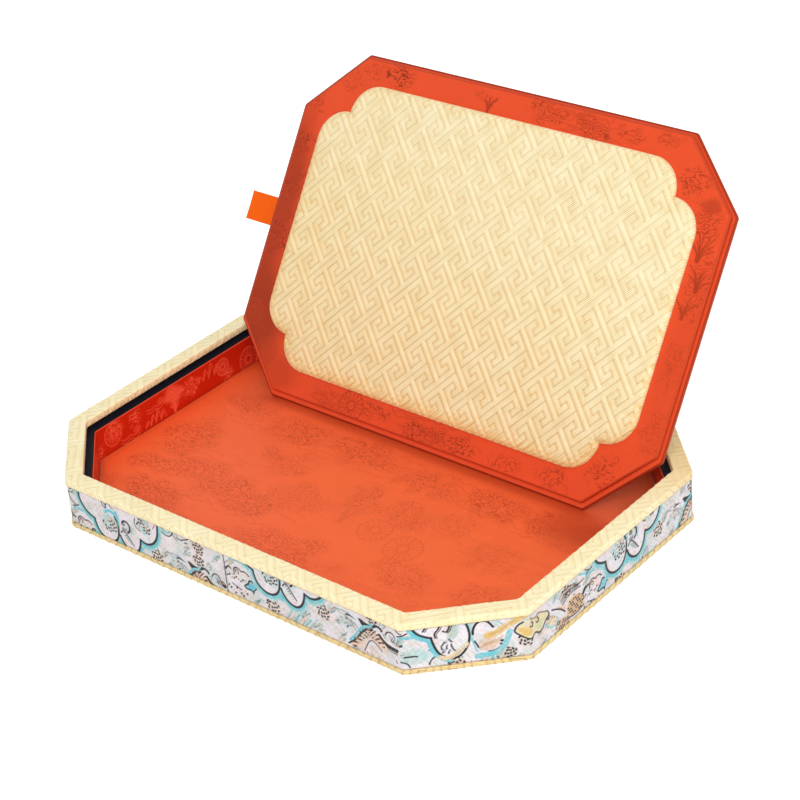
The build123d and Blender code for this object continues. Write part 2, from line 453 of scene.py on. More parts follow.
COLLAR_LEFT = [
    (9.0, 26), (8.6, 23), (8.4, 20.9), (9.25, 18), (10.9, 15.1), (12.5, 13.4), (14.6, 12.2),
    (16.3, 11.4), (18.1, 10.9)]
COLLAR_LOBE_1 = [
    (18.1, 10.9), (18.3, 8.8), (19.1, 5.9), (20.5, 3.6), (22.6, 1.9), (25, 0.9), (27.5, 0.6),
    (30, 1.2), (32.2, 2.6), (33.8, 4.8), (34.6, 7.5), (35, 10.5), (34.7, 13.5), (34.0, 15.8),
    (33.3, 17.2)]
COLLAR_DEEP_LOBE = [
    (18.1, 10.9), (18.6, 8.1), (19.8, 4.1), (21.6, 0.9), (24.4, -1.1), (27.2, -1.9), (30, -0.9),
    (32.3, 1.6), (34.0, 5.2), (34.8, 9.6), (34.3, 14.1), (33.2, 17.2)]
COLLAR_LOBE_2 = [
    (35.6, 7.0), (36.4, 4.6), (38.2, 2.2), (40.4, 0.6), (42.9, -0.3), (45.2, 0.1), (47.2, 1.6),
    (48.8, 3.9), (49.8, 6.5), (50.4, 9.9)]
COLLAR_LOBE_3 = [
    (50.4, 9.9), (52.4, 9.0), (54.4, 8.7), (56.6, 9.2), (58.8, 10.4), (60.8, 12.2), (62.4, 14.6),
    (63.5, 17.5), (64.1, 21), (64.6, 26)]


def petals(cloth, x, y, size, count, colours, slant=1.0, pale=None):
    """A flower of short petals set out by the golden angle, the n-th at size * sqrt(n / count)."""
    cloth.dot(x, y, size * 1.05, PEACH if pale is None else pale, 0.03, slant, -50, soft=0.8,
              cover=0.75)
    for n in range(count):
        turn = math.radians(137.5 * n)
        reach = size * math.sqrt((n + 0.5) / count)
        u, v = reach * math.cos(turn) * slant, reach * math.sin(turn)
        px, py = x + 0.64 * u + 0.77 * v, y - 0.77 * u + 0.64 * v
        cloth.dot(px, py, 0.62, WHITE, 0.1, 2.0, math.degrees(turn) + 20)
        cloth.dot(px + 0.12, py - 0.12, 0.58, colours[n % len(colours)], 0.12, 1.7,
                  math.degrees(turn) + 20)


def hatch(cloth, start, step, stroke, count, width, colour):
    """A row of short parallel threads."""
    for n in range(count):
        x, y = start[0] + n * step[0], start[1] + n * step[1]
        cloth.line([(x, y), (x + stroke[0], y + stroke[1])], width, colour, 0.06)


def leaf(cloth, x, y, size, turn, colour):
    """A soft leaf of short slanting floats: they lie in rows along the leaf, shorter towards its
    two ends, in the leaf's colour, pale teal and slate by turns."""
    cloth.dot(x, y, size * 0.8, colour, 0.02, 1.5, turn, soft=1.0, cover=0.45)
    c, s = math.cos(math.radians(turn)), math.sin(math.radians(turn))
    draw = np.random.default_rng(int(100 * x + 7 * y) % 9973)
    for n in range(22):
        u, v = draw.uniform(-1.3, 1.3) * size, draw.uniform(-0.8, 0.8) * size
        if (u / (1.4 * size)) ** 2 + (v / (0.9 * size)) ** 2 > 1:
            continue
        px, py = x + u * c - v * s, y + u * s + v * c
        long = draw.uniform(0.5, 1.2)
        cloth.line([(px - long, py - 0.8 * long), (px + long, py + 0.8 * long)], 0.42,
                   (colour * 0.7, PALE_TEAL, GROUND, SLATE, colour * 0.8, OCHRE)[n % 6], 0.05)


def floats(paint, x, y):
    """Loose floats of pale thread that slant across the figures both ways, on all but the ink:
    each colour covers where a wave that is five times longer along its slant rises high, and the
    strong colours stay clear of it."""
    light = 0.4 * smooth_step(paint.mean(-1), 0.15, 0.45) + 0.6 * smooth_step(paint.min(-1), 0.25, 0.6)
    for slant, seed, colour, share in (
            (1, 71, WHITE, 0.5), (-1, 72, PALE_TEAL, 0.42), (1, 73, PEACH, 0.4), (-1, 74, SAGE, 0.34),
            (1, 75, OCHRE, 0.22), (-1, 76, WHITE, 0.5)):
        u, v = (x + slant * y) / math.sqrt(2), (x - slant * y) / math.sqrt(2)
        wave = ripple(u / 5, v, 1.5, seed) + 0.6 * ripple(x, y, 15, seed + 10)
        cover = (share * smooth_step(wave, 0.05, 0.6) * light)[..., None]
        paint = paint * (1 - cover) + cover * colour
    return paint


def collar(cloth):
    """The collar of three lobes: a teal border, a pale inside and a dark outline that has a
    light thread along it."""
    for border in (COLLAR_LEFT, COLLAR_LOBE_1[:-3], COLLAR_LOBE_2, COLLAR_LOBE_3):
        cloth.line([(x, y - 1.1) for x, y in border], 5.2, PALE_TEAL, 0.05)
        cloth.line([(x, y - 0.7) for x, y in border], 3.6, TEAL, 0.09)
    cloth.line([(35.2, 0.5), (35.3, 6), (35.7, 12), (35.4, 17), (34.5, 20)], 2.0, TEAL, 0.09)
    cloth.patch(COLLAR_LEFT + COLLAR_LOBE_1[1:] + [(33.6, 26)], GROUND, 0.03, rounds=1)
    cloth.patch(COLLAR_LOBE_2 + COLLAR_LOBE_3[1:] + [(36.9, 26), (36.9, 18), (36.2, 12)], GROUND, 0.03,
                rounds=1)
    for edge, inset in ((COLLAR_LEFT, (1.05, 0.4)), (COLLAR_LOBE_1[:10], (0.85, 0.6)),
                        (COLLAR_LOBE_2, (0.1, 1.0)), (COLLAR_LOBE_3, (-0.65, 0.8))):
        cloth.line([(x + inset[0], y + inset[1]) for x, y in edge], 0.5, WHITE, 0.1)
    for edge in (COLLAR_LEFT, COLLAR_LOBE_1, COLLAR_LOBE_2, COLLAR_LOBE_3):
        cloth.line(edge, 1.35, INK, 0.14)


def ground_figures(cloth):
    """What lies round the collar in both colour ways: leaves, swooshes, petals and a small cloud."""
    for x, y, size, turn in (
            (83.5, 15.5, 2.6, 60), (67, 8.3, 2.4, 40), (77, 4.6, 2.4, -30), (71.5, 3.6, 2.0, 50),
            (97.6, 12.5, 2.0, 70), (20, -7, 2.4, 40), (50, -2.5, 2.3, 50), (57, -6.4, 2.3, 30),
            (72, -5, 2.6, 60), (80, -8.5, 2.2, 20), (76.5, 24, 2.4, 30), (103.5, 20, 2.2, 50),
            (87, 24.5, 2.2, 20), (3.0, 9.6, 1.9, 40), (44, -7, 2.2, 50)):
        leaf(cloth, x, y, size, turn, SAGE)
    for n in range(7):
        x = 38 + 2.4 * n
        cloth.line([(x + 2.6, -2.6 - 0.3 * n), (x + 1.6, -5.2), (x - 1.2, -9)], 1.3,
                   (PALE_TEAL, PEACH, TEAL)[n % 3], 0.05)
        cloth.line([(x + 3.2, -2.8 - 0.3 * n), (x + 2.2, -5.4), (x - 0.6, -9)], 0.35,
                   (SLATE, OCHRE)[n % 2], 0.07)
    for n in range(7):
        cloth.line([(68 + 1.3 * n, 9.6 - 0.4 * n), (73 + 1.6 * n, 8.9 - 0.7 * n),
                    (76.6 + 1.4 * n, 5.4 - 1.3 * n)], 0.4, (SLATE, PALE_TEAL, OCHRE)[n % 3], 0.06)
    cloth.patch([(66.4, 21.4), (70.4, 19.8), (74.2, 22), (75, 26), (66, 26)], PALE_TEAL, 0.04)
    cloth.line([(66, 21.5), (68, 20.2), (70.5, 19.5), (73, 20.4), (74.6, 22.5), (76, 25)], 0.75, INK,
               0.12)
    cloth.line([(67.2, 23), (69, 21.8), (71, 21.4), (72.8, 22.6), (73.6, 25)], 0.4, SLATE, 0.1)
    cloth.line([(74.5, 22), (75.6, 20.6), (77.4, 19.5)], 0.6, BROWN, 0.1)
    cloth.line([(77.2, 21.4), (79.8, 20.4), (81.8, 21.6), (84.6, 22.6), (86.6, 24.4)], 0.7, INK, 0.1)
    draw = np.random.default_rng(83)
    for _ in range(54):
        x, y = draw.uniform(0, 106), draw.uniform(-10, 24)
        u, v = draw.uniform(-1.4, 1.4, 2)
        if 16 < x < 66 and y > 8:
            continue
        cloth.line([(x, y), (x + u + 0.5 * v, y + 0.5 * v), (x + u, y + v + 0.6)],
                   draw.uniform(0.4, 0.75), (INK, BROWN, SLATE)[draw.integers(0, 3)], 0.08)
    petals(cloth, 61.3, 4.3, 3.9, 16, (INK, BROWN), 1.1)
    petals(cloth, 91.6, 20.4, 3.5, 14, (INK, BROWN), 1.0)
    petals(cloth, 90.8, 12.9, 3.4, 14, (INK, BROWN), 1.1)
    petals(cloth, 28.9, -5.4, 3.9, 16, (INK, BROWN), 1.25)
    cloth.dot(15.6, 23.8, 1.7, BROWN, 0.1, 1.4, 20)
    cloth.dot(15.2, 22.3, 0.9, INK, 0.12, 1.5, 70)
    cloth.line([(2.6, 13.0), (5.0, 13.7), (7.4, 14.8)], 0.8, INK, 0.12)
    cloth.line([(3.2, 12.0), (6.0, 12.4), (9.2, 12.2)], 1.8, TEAL, 0.08)
    cloth.line([(0.6, 21.0), (1.2, 17.6), (2.6, 15.2), (4.8, 14.6)], 0.7, INK, 0.12)
    cloth.patch([(0.4, 21), (3.4, 24.8), (7.2, 24.8), (6.0, 20.4), (2.8, 19.0)], SAGE, 0.04, cover=0.6)
    cloth.line([(2.2, 22.8), (3.8, 23.8), (5.8, 23.5)], 0.9, INK, 0.12)
    cloth.line([(0.2, 21.6), (1.2, 20.6), (3.0, 20.8), (4.2, 21.8)], 0.6, BROWN, 0.1)
    cloth.line([(16.4, -3.6), (17.0, -1.9), (18.2, -0.3), (20.4, 1.0)], 0.85, INK, 0.14)
    cloth.line([(22.6, -0.6), (24.4, -2.0), (26.8, -3.6)], 0.75, INK, 0.12)
    cloth.line([(26.8, -3.6), (25.2, -5.2), (24.2, -5.8)], 0.7, BROWN, 0.1)


def figure_of_scales(cloth):
    """First colour way: petals and a curl in the collar, then a scaled back that arches up out of
    the lower edge, a cloud scroll and strokes of ink."""
    ground_figures(cloth)
    collar(cloth)
    star = [
        (11, -1.2), (12.5, 0.4), (13.7, 1.0), (14.3, 2.8), (15.6, 3.5), (16.6, 2.8), (18.6, 2.7),
        (19.6, 1.8), (18.6, 0.3), (17.2, -1.2), (16.2, -2.6), (14.8, -2.0), (12.6, -2.4),
        (11.4, -1.9)]
    cloth.patch(star, srgb(96, 206, 228), 0.1, rounds=2)
    cloth.line(star[10:] + star[:6], 0.95, INK, 0.14, rounds=2)
    petals(cloth, 29.0, 11.6, 5.2, 25, (INK, BROWN, TEAL, INK, OCHRE), 1.0, PALE_TEAL)
    cloth.line([(26.3, 17.4), (28.3, 18.9), (31, 19.8), (33.4, 18.4)], 1.9, TEAL, 0.08)
    cloth.line([(24.8, 24.8), (25.4, 21.6), (27.4, 19.6), (27.8, 22.4), (29.6, 24.6)], 0.75, INK, 0.1)
    cloth.line([(26.6, 24.8), (27.0, 22.6), (28.0, 20.6)], 0.6, BROWN, 0.1)
    cloth.line([(30.4, 24.8), (30.8, 22.4), (33.0, 21.4)], 0.6, BROWN, 0.1)

    # Second lobe: a curl on a stem, and a hatched leaf
    cloth.patch([(38.6, 15), (40.6, 16.6), (42.6, 15.4), (43, 12.8), (41.4, 11.4), (39.2, 12.6)],
                PALE_TEAL, 0.03, cover=0.5)
    cloth.line([(38.4, 15.4), (39.3, 16.8), (41, 17.3), (42.9, 16.3), (43.7, 14.2), (43.3, 12.1),
                (41.6, 10.6)], 1.25, INK, 0.14)
    cloth.line([(44.9, 15.6), (45.1, 13.4), (44.0, 10.6)], 0.8, TEAL, 0.08)
    cloth.line([(37.9, 14.6), (39.1, 13.9), (40.1, 14.8), (39.6, 15.6)], 0.7, BROWN, 0.1)
    cloth.patch([(38, 8.6), (40.8, 5.0), (43.6, 4.2), (42.4, 6.6), (40, 9.2)], SAGE, 0.06, cover=0.7)
    cloth.line([(36.7, 9.0), (37.6, 10.5), (39, 10.8), (40.2, 10.0), (42, 7.7), (44.8, 3.8)], 0.8, INK,
               0.12)
    hatch(cloth, (37.9, 9.0), (1.0, -1.0), (1.3, 0.9), 6, 0.45, SLATE)
    hatch(cloth, (37.6, 11.4), (0.7, -0.1), (0.5, 1.3), 5, 0.45, INK)

    # Third lobe: petals at the top
    petals(cloth, 54.0, 19.2, 4.9, 24, (INK, BROWN, TEAL, OCHRE), 1.0, PALE_TEAL)
    cloth.line([(48.6, 21.8), (47.4, 19.0), (48.4, 16.4), (50.6, 15.2)], 0.7, INK, 0.1)
    cloth.line([(60.8, 20.2), (62.0, 22.0), (63.0, 24)], 0.5, BROWN, 0.08)

    # Scaled back, with a slate edge, ink strokes and a pale belly
    back = [
        (75.3, -7.5), (80.3, -3.5), (83.3, 1.2), (87.0, 4.9), (91.2, 6.2), (94.6, 4.4), (98.3, 1.2),
        (100.5, -4.2), (95.8, -4.0), (93.3, -1.5), (90.8, 0.3), (88.3, -1), (86.8, -4), (84.8, -8)]
    cloth.line([(77, -5.2), (81, -1.2), (83.6, 3.2), (87.2, 7.0), (90.8, 8.2)], 2.4, TEAL, 0.07)
    cloth.line([(79, -5.4), (82, -1.6), (84.4, 2.4), (87.6, 5.8), (90.8, 7.0)], 1.0, SLATE, 0.09)
    cloth.patch(back, PEACH, 0.08, rounds=2)
    cloth.line(back[:5], 0.9, INK, 0.12)
    cloth.line(back[8:], 0.7, SLATE * 0.5 + INK * 0.5, 0.12)
    for n in range(11):
        for m in range(5):
            t = (n + 0.5 * (m % 2)) / 11
            x = 78.0 + 20 * t
            y = -6.4 + 11.8 * math.sin(math.pi * min(t * 0.8, 1.0)) - 1.15 * m + 1.0
            cloth.dot(x, y, 0.45, (BROWN, INK, OCHRE, INK)[(n + m) % 4], 0.12, 1.5, 35)
    cloth.patch([(82.4, 9.5), (84.2, 9.9), (86.4, 8.8), (90.6, 8.2), (86.4, 7.2), (84.7, 6.0),
                 (83.8, 7.7)], INK, 0.14, rounds=2)
    cloth.line([(75.4, 8.7), (77.4, 9.1), (79.4, 8.6)], 1.0, INK, 0.12)
    cloth.line([(69, 9.6), (73.4, 10.3), (77, 9.9), (81, 8.0)], 0.5, SLATE, 0.08)
    cloth.line([(91.6, 8.1), (93.3, 9.4), (95.2, 9.3), (96.5, 8.2)], 1.4, INK, 0.14)
    for n, width in ((0, 1.6), (1, 0.8), (2, 0.6)):
        cloth.line([(95.0 + n, 5.0 - 1.3 * n), (97.2 + n, 2.4 - 1.2 * n), (100.4, 0.9 - 1.2 * n),
                    (105.0, 0.5 - 1.2 * n)], width, INK if n < 2 else BROWN, 0.14)
    cloth.line([(98.6, 6.6), (99.6, 8.6), (101.4, 9.4), (103.4, 8.8), (104.2, 7.0)], 0.8, BROWN, 0.1)
    cloth.patch([(100.6, 7.4), (103.0, 8.0), (103.8, 4.6), (101.8, 3.4)], SLATE, 0.05, cover=0.6)
    cloth.patch([(103.6, 6.4), (106.4, 6.8), (108.6, 3.6), (106.0, 2.6), (104.6, 4.4)], INK, 0.12,
                rounds=1)
    cloth.line([(104.2, 5.6), (106.6, 5.4)], 0.5, PEACH, 0.15)
    hatch(cloth, (101.6, 4.2), (0.9, -0.4), (1.2, 2.2), 4, 0.45, BROWN)

    # Cloud scroll before the collar, over a brown scaled edge
    cloth.patch([(4.4, 3.4), (4.6, 6.8), (7.4, 8.0), (10.6, 6.8), (14, 6), (12.4, 3.8), (8, 2.8)],
                PEACH, 0.05, cover=0.4)
    cloth.line([(-0.4, 4.6), (0.6, 6.2), (2.0, 6.6), (2.9, 5.9)], 1.0, INK, 0.12)
    cloth.line([(5.0, 4.0), (4.8, 6.0), (5.8, 7.5), (7.7, 7.9), (9.1, 7.1), (9.9, 6.4), (11.4, 7.2),
                (13.0, 7.0), (14.6, 5.6)], 0.8, INK, 0.12)
    cloth.line([(7.4, 4.2), (8.2, 5.6), (7.1, 6.7), (5.9, 6.2), (6.2, 5.0)], 0.65, BROWN, 0.1)
    for n in range(10):
        cloth.dot(0.2 + 1.45 * n, 1.3 + 0.8 * math.sin(1.9 * n), 0.5, (BROWN, INK, OCHRE)[n % 3], 0.1,
                  1.6, 40)
        cloth.dot(0.4 + 1.3 * n, -4.4 - 1.1 * (n % 4), 0.55, (BROWN, INK, PEACH)[n % 3], 0.1, 1.6, 55)
    cloth.line([(2.8, -2.6), (6.0, -3.8), (8.6, -4.6)], 0.7, INK, 0.1)
    hatch(cloth, (0.6, 8.2), (1.1, 0.3), (0.8, 1.6), 5, 0.4, OCHRE)


def figure_of_clouds(cloth):
    """Second colour way: a fanned leaf in the collar, a gold swoosh, a teal crescent, a gold cloud
    with curls, hair-like rays, and a round scaled back that lies further on."""
    ground_figures(cloth)
    cloth.line([(x - 0.6, y - 0.9) for x, y in COLLAR_LEFT], 3.4, TEAL, 0.09)
    cloth.line([(x - 1.0, y - 0.4) for x, y in COLLAR_DEEP_LOBE[:6]], 3.0, TEAL, 0.09)
    cloth.line([(36.2, 7.5), (36.6, 12), (36.2, 16), (35.5, 20)], 2.2, PALE_TEAL, 0.07)
    deep = [(x + 0.05 * (x - 18.1), y) for x, y in COLLAR_DEEP_LOBE]
    cloth.patch(COLLAR_LEFT + deep[1:] + [(34.6, 26)], GROUND, 0.03, rounds=1)
    for edge in (COLLAR_LEFT, deep):
        cloth.line(edge, 1.2, INK, 0.14)
    cloth.patch([(25.0, 9.0), (27.4, 7.6), (30.6, 11.2), (30.4, 16.4), (27.6, 18.2), (25.2, 14.4)],
                SAGE, 0.05, soft=0.6, cover=0.85)
    hatch(cloth, (26.2, 9.4), (0.3, 1.3), (3.6, 0.6), 7, 0.35, PALE_TEAL)
    for u, v, turn in (
            (23.4, 6.6, 60), (22.6, 4.6, 100), (26.8, 8.2, 130), (25.0, 4.8, 80),
            (27.2, 5.2, 100), (26.0, 2.2, 60), (28.2, 3.0, 130), (23.6, 2.6, 40), (24.6, 7.6, 30)):
        cloth.dot(u, v, 0.62, SLATE * 0.3 + INK * 0.7, 0.12, 2.4, turn)
        cloth.dot(u + 0.5, v + 0.3, 0.25, WHITE, 0.13, 3.0, turn)
    for line in (
            [(14.6, 14.8), (15.6, 16.2), (17.0, 18.2)],
            [(20.0, 10.6), (19.6, 13.0), (21.4, 14.8), (23.2, 18.2)],
            [(23.6, 13.8), (25.0, 13.0), (26.2, 14.2), (27.4, 18.2)]):
        cloth.line(line, 0.9, INK, 0.12)
        cloth.line([(x + 0.9, y - 0.4) for x, y in line], 0.5, BROWN, 0.1)
    cloth.patch([(37.6, 10.4), (37.8, 14.4), (41.0, 16.8), (44.8, 14.8), (45.0, 11.0), (41.0, 9.0)],
                GROUND, 0.04)
    cloth.line([(37.0, 10.2), (37.2, 13.0), (38.9, 16.0), (41.6, 17.2), (44.2, 16.2), (46.4, 12.9)],
               1.2, INK, 0.14)
    cloth.line([(46.0, 17.6), (47.6, 14.6), (49.4, 12.2)], 1.2, PALE_TEAL, 0.08)
    cloth.line([(47.4, 17.6), (49.0, 15.0), (51.4, 13.4)], 0.7, TEAL, 0.09)
    cloth.patch([(38.6, 1.4), (40.0, 6.6), (44.2, 7.6), (49.6, 5.0), (48.0, 1.2), (43, -0.6)], PEACH,
                0.04, soft=1.0, cover=0.8)
    hatch(cloth, (39.6, 1.8), (1.2, 0.4), (2.6, 2.6), 8, 0.4, OCHRE)
    cloth.line([(44.0, -0.4), (46.8, -0.2), (49.4, 1.3)], 1.2, INK, 0.14, rounds=2)
    cloth.dot(50.0, 4.9, 0.75, INK, 0.14, 1.2, 20)
    cloth.dot(49.5, 3.2, 0.5, INK, 0.14, 1.8, 10)
    cloth.line([(37.6, 6.2), (38.6, 4.2), (39.2, 2.6)], 0.9, INK, 0.12)
    cloth.line([(36.4, 8.0), (37.4, 3.6), (38.4, 0.4)], 0.8, TEAL, 0.08)
    cloth.line([(38.4, -2.2), (44.4, -1.9), (48.8, -0.8), (51.8, 3.1), (53.9, 9.4)], 2.9, TEAL, 0.1)
    cloth.line([(43.4, 8.4), (47.4, 9.2), (50.8, 11.6), (55.8, 14.6), (60.4, 17.0)], 3.4, GOLD, 0.1)
    cloth.line([(44.6, 8.8), (48.4, 9.8), (51.4, 12.0), (56.2, 15.2)], 0.8, OCHRE, 0.12)
    petals(cloth, 53.3, -2.0, 3.0, 12, (INK, BROWN))
    cloth.line([(21.4, -0.4), (24.6, -1.6), (28.8, 0.4), (33.8, 5.4)], 2.4, srgb(244, 222, 176), 0.06)
    hatch(cloth, (25.2, -2.0), (1.3, 1.0), (2.2, 0.4), 7, 0.4, OCHRE)

    # Gold cloud with two commas, outlined on its lower left
    cloud_edge = [
        (60, 13.4), (57.3, 12.1), (55.6, 9.1), (56.8, 7.6), (58.8, 6.1), (61.6, 4.1), (64.1, 3.1),
        (66.6, 5.5), (69.1, 3.1), (72.1, 3.6), (73.6, 6.1), (77.1, 8.6), (76.1, 11.1), (73.6, 12),
        (70.6, 13.8), (68.6, 14), (67.1, 12.6), (63.4, 14.4)]
    cloth.patch(cloud_edge, srgb(244, 232, 186), 0.08, rounds=2)
    cloth.patch([(57.0, 10.6), (57.4, 8.4), (61.2, 5.4), (64.4, 5.2), (65.0, 8.4), (60.6, 10.8)], GOLD,
                0.1, soft=0.6)
    cloth.patch([(66.6, 8.6), (69.4, 4.6), (72.0, 5.6), (72.8, 9.0), (69.6, 11.4)], srgb(222, 228, 170),
                0.09, soft=0.6)
    cloth.line(cloud_edge[:12], 0.9, INK, 0.13, rounds=2)
    cloth.line(cloud_edge[12:], 0.55, BROWN, 0.12, rounds=2)
    for x in (64.4, 68.6):
        cloth.line([(x - 1.0, 10.0), (x + 0.4, 9.4), (x + 0.7, 11.2), (x - 0.2, 12.4)], 0.85, INK, 0.13)
        cloth.line([(x - 1.6, 10.6), (x - 0.6, 12.8), (x + 1.2, 13.4)], 0.5, OCHRE, 0.11)
    cloth.line([(76.2, 10.8), (77.6, 8.2), (76.4, 6.0)], 0.8, BROWN, 0.12)
    cloth.dot(79.0, 2.6, 3.0, srgb(244, 226, 176), 0.05, 1.1, 30, soft=0.8)
    cloth.line([(74.4, 4.4), (77.0, 0.6), (81.4, -0.4)], 0.9, TEAL, 0.08)
    cloth.line([(76.6, 3.6), (78.8, 5.2), (81.4, 4.4)], 0.8, OCHRE, 0.08)

    # Rays, a peach stroke and the scaled back
    for n in range(6):
        cloth.line([(85.0 + 0.5 * n, 11.6 - 0.9 * n), (87.4 + 0.7 * n, 13.6 - 0.9 * n),
                    (91.2 + 0.6 * n, 14.6 - 0.9 * n), (97.6 + 0.8 * n, 13.2 - 0.8 * n)],
                   0.55, (INK, OCHRE, INK, BROWN, SLATE, INK)[n], 0.1)
    cloth.line([(97.0, 12.4), (100.4, 11.2), (104.0, 11.9)], 0.8, INK, 0.12)
    cloth.patch([(82.0, 8.4), (86.0, 5.2), (88.8, 2.8), (90.0, 4.6), (85.6, 8.0)], srgb(240, 196, 170),
                0.06, rounds=1)
    cloth.line([(79.4, 9.2), (83.0, 7.6), (86.6, 5.4), (89.0, 2.6)], 0.9, INK, 0.13)
    back = [(90.4, -1.6), (90.2, 3.2), (92.4, 6.6), (96.6, 7.6), (101.2, 5.8), (103.8, 1.2),
            (103.0, -2.6), (97.6, -3.4)]
    tail = [(80.4, -6.8), (82.6, -2.4), (86.4, 1.2), (89.4, -0.8), (93.4, -5.8)]
    cloth.patch(tail, srgb(236, 206, 176), 0.06, soft=0.5, rounds=2, cover=0.9)
    cloth.patch(back, srgb(240, 208, 160), 0.08, rounds=2)
    for n in range(9):
        for m in range(6):
            x, y = 91.6 + 1.45 * n + 0.7 * (m % 2), 5.6 - 1.45 * m
            if ((x - 97.0) / 6.4) ** 2 + ((y - 2.0) / 5.0) ** 2 < 1:
                cloth.dot(x, y, 0.5, (BROWN, INK, OCHRE)[(n + 2 * m) % 3], 0.12, 1.6, -35)
    for n in range(8):
        for m in range(5):
            x, y = 81.8 + 1.5 * n + 0.8 * (m % 2), 0.4 - 1.5 * m - 0.35 * n
            if abs(x - 86.6) + abs(y + 2.8) < 6.4:
                cloth.dot(x, y, 0.5, (BROWN, INK, BROWN, OCHRE)[(n + m) % 4], 0.12, 1.6, 50)
    cloth.line([(91.0, -2.4), (97.0, -3.6), (103.4, -2.0)], 0.9, BROWN, 0.12)
    cloth.line([(93.4, -5.6), (96.6, -6.6), (101.0, -6.0)], 0.7, INK, 0.1)
    cloth.line([(103.6, 4.1), (105.6, 6.3), (107.6, 6.5)], 1.3, INK, 0.14)
    cloth.line([(99.6, 17.1), (102.6, 14.9), (105.6, 14.1), (111.1, 14.6)], 1.2, TEAL, 0.1)
    cloth.patch([(3.8, -1.9), (4.8, 4.4), (10.4, 6.6), (16.4, 4.4), (17.4, -1.4), (12, -3.4)],
                PALE_TEAL, 0.04, soft=1.6, cover=0.9)
    cloth.line([(5.4, 1.8), (8.4, 1.9), (11.2, 1.6)], 0.9, INK, 0.12)
    cloth.line([(3.4, -1.0), (6.4, -1.4), (7.6, -4.0)], 0.8, INK, 0.12)


# Where each figure starts along the band, how high it sits, and which colour way it is. Then how
# far a figure reaches, and where the band's four strips start, the first at its glued seam.
BAND_FIGURES = [
    (-106.5, 4.0, figure_of_scales), (0.0, 0.65, figure_of_scales), (109.7, 11.85, figure_of_scales),
    (212.65, 7.55, figure_of_clouds), (316.15, 7.55, figure_of_scales), (422.0, 2.0, figure_of_scales),
    (528.0, 9.0, figure_of_clouds), (634.0, 2.0, figure_of_scales), (740.0, 8.0, figure_of_scales)]
FIGURE_REACH = 115
BAND_CUTS = (108.2, 340.0, 571.7, 803.5)
BAND_NAMES = ("right_front", "right_back", "left_back", "left_front")


# Finishes

def new_finish(name):
    """A material with one shader, and its node tree."""
    finish = bpy.data.materials.new(name)
    finish.use_nodes = True
    tree = finish.node_tree
    tree.nodes.clear()
    out = tree.nodes.new("ShaderNodeOutputMaterial")
    shader = tree.nodes.new("ShaderNodeBsdfPrincipled")
    tree.links.new(shader.outputs[0], out.inputs[0])
    return finish, tree, shader


def add_node(tree, kind, settings=None, **inputs):
    """A node with its settings. An input is a number, a colour or another node's output. It goes
    to the socket of its name, or for i0, i1 and so on to the socket of that number."""
    node = tree.nodes.new(kind)
    for key, value in (settings or {}).items():
        setattr(node, key, value)
    for key, value in inputs.items():
        numbered = key.startswith("i") and key[1:].isdigit()
        socket = node.inputs[int(key[1:]) if numbered else key.replace("_", " ")]
        if isinstance(value, bpy.types.NodeSocket):
            tree.links.new(value, socket)
        else:
            socket.default_value = value
    return node


def rgba(colour):
    """A colour as a socket takes it."""
    return (*[float(c) for c in colour], 1.0)


def mixed(tree, factor, a, b, blend="MIX"):
    """A mix of two colours by a factor."""
    node = tree.nodes.new("ShaderNodeMix")
    node.data_type = "RGBA"
    node.blend_type = blend
    for socket, value in ((node.inputs[0], factor), (node.inputs[6], a), (node.inputs[7], b)):
        if isinstance(value, bpy.types.NodeSocket):
            tree.links.new(value, socket)
        else:
            socket.default_value = value
    return node.outputs[2]


def arithmetic(tree, operation, a, b=0.0):
    """One sum on two numbers."""
    return add_node(tree, "ShaderNodeMath", {"operation": operation}, i0=a, i1=b).outputs[0]


def times(tree, a, b):
    """The product of two numbers."""
    return arithmetic(tree, "MULTIPLY", a, b)


def ranged(tree, value, low, high, at_low, at_high):
    """A value carried straight from one range to another, and kept inside it."""
    node = add_node(tree, "ShaderNodeMapRange", i0=value, i1=low, i2=high, i3=at_low, i4=at_high)
    return node.outputs[0]


def painted_value(tree, name):
    """A piece's own number for each point, by name."""
    return add_node(tree, "ShaderNodeAttribute", {"attribute_name": name}).outputs["Fac"]


def seen_ray(tree):
    """1 for the rays that show the backdrop itself: seen straight, through glass or in gloss."""
    rays = add_node(tree, "ShaderNodeLightPath").outputs
    direct = arithmetic(tree, "MAXIMUM", rays["Is Camera Ray"], rays["Is Transmission Ray"])
    return arithmetic(tree, "MAXIMUM", direct, rays["Is Glossy Ray"])


def cloth_place(tree, turn=0.0, scale=(1.0, 1.0)):
    """The piece's cloth map, in millimetres, turned and scaled."""
    place = add_node(tree, "ShaderNodeUVMap", {"uv_map": "cloth"}).outputs[0]
    return add_node(tree, "ShaderNodeMapping", Vector=place, Rotation=(0, 0, math.radians(turn)),
                    Scale=(*scale, 1.0)).outputs[0]


def threads(tree, turn, pitch, waver=0.0):
    """Parallel threads on the cloth map: a wave whose crests are pitch apart."""
    place = cloth_place(tree, turn)
    return add_node(tree, "ShaderNodeTexWave", {"bands_direction": "X"}, Vector=place,
                    Scale=2 * math.pi / (20 * pitch), Distortion=waver, Detail=1.0).outputs["Fac"]


def blotches(tree, size, detail=3.0, turn=0.0, scale=(1.0, 1.0)):
    """Soft blotches on the cloth map, of about the given size."""
    place = cloth_place(tree, turn, scale)
    return add_node(tree, "ShaderNodeTexNoise", Vector=place, Scale=1 / size,
                    Detail=detail).outputs["Fac"]


def bump(tree, shader, height, distance, strength=1.0):
    """Fine relief on a finish: its height runs over a distance in millimetres."""
    made = add_node(tree, "ShaderNodeBump", Strength=strength, Distance=distance * MM, Height=height)
    tree.links.new(made.outputs[0], shader.inputs["Normal"])


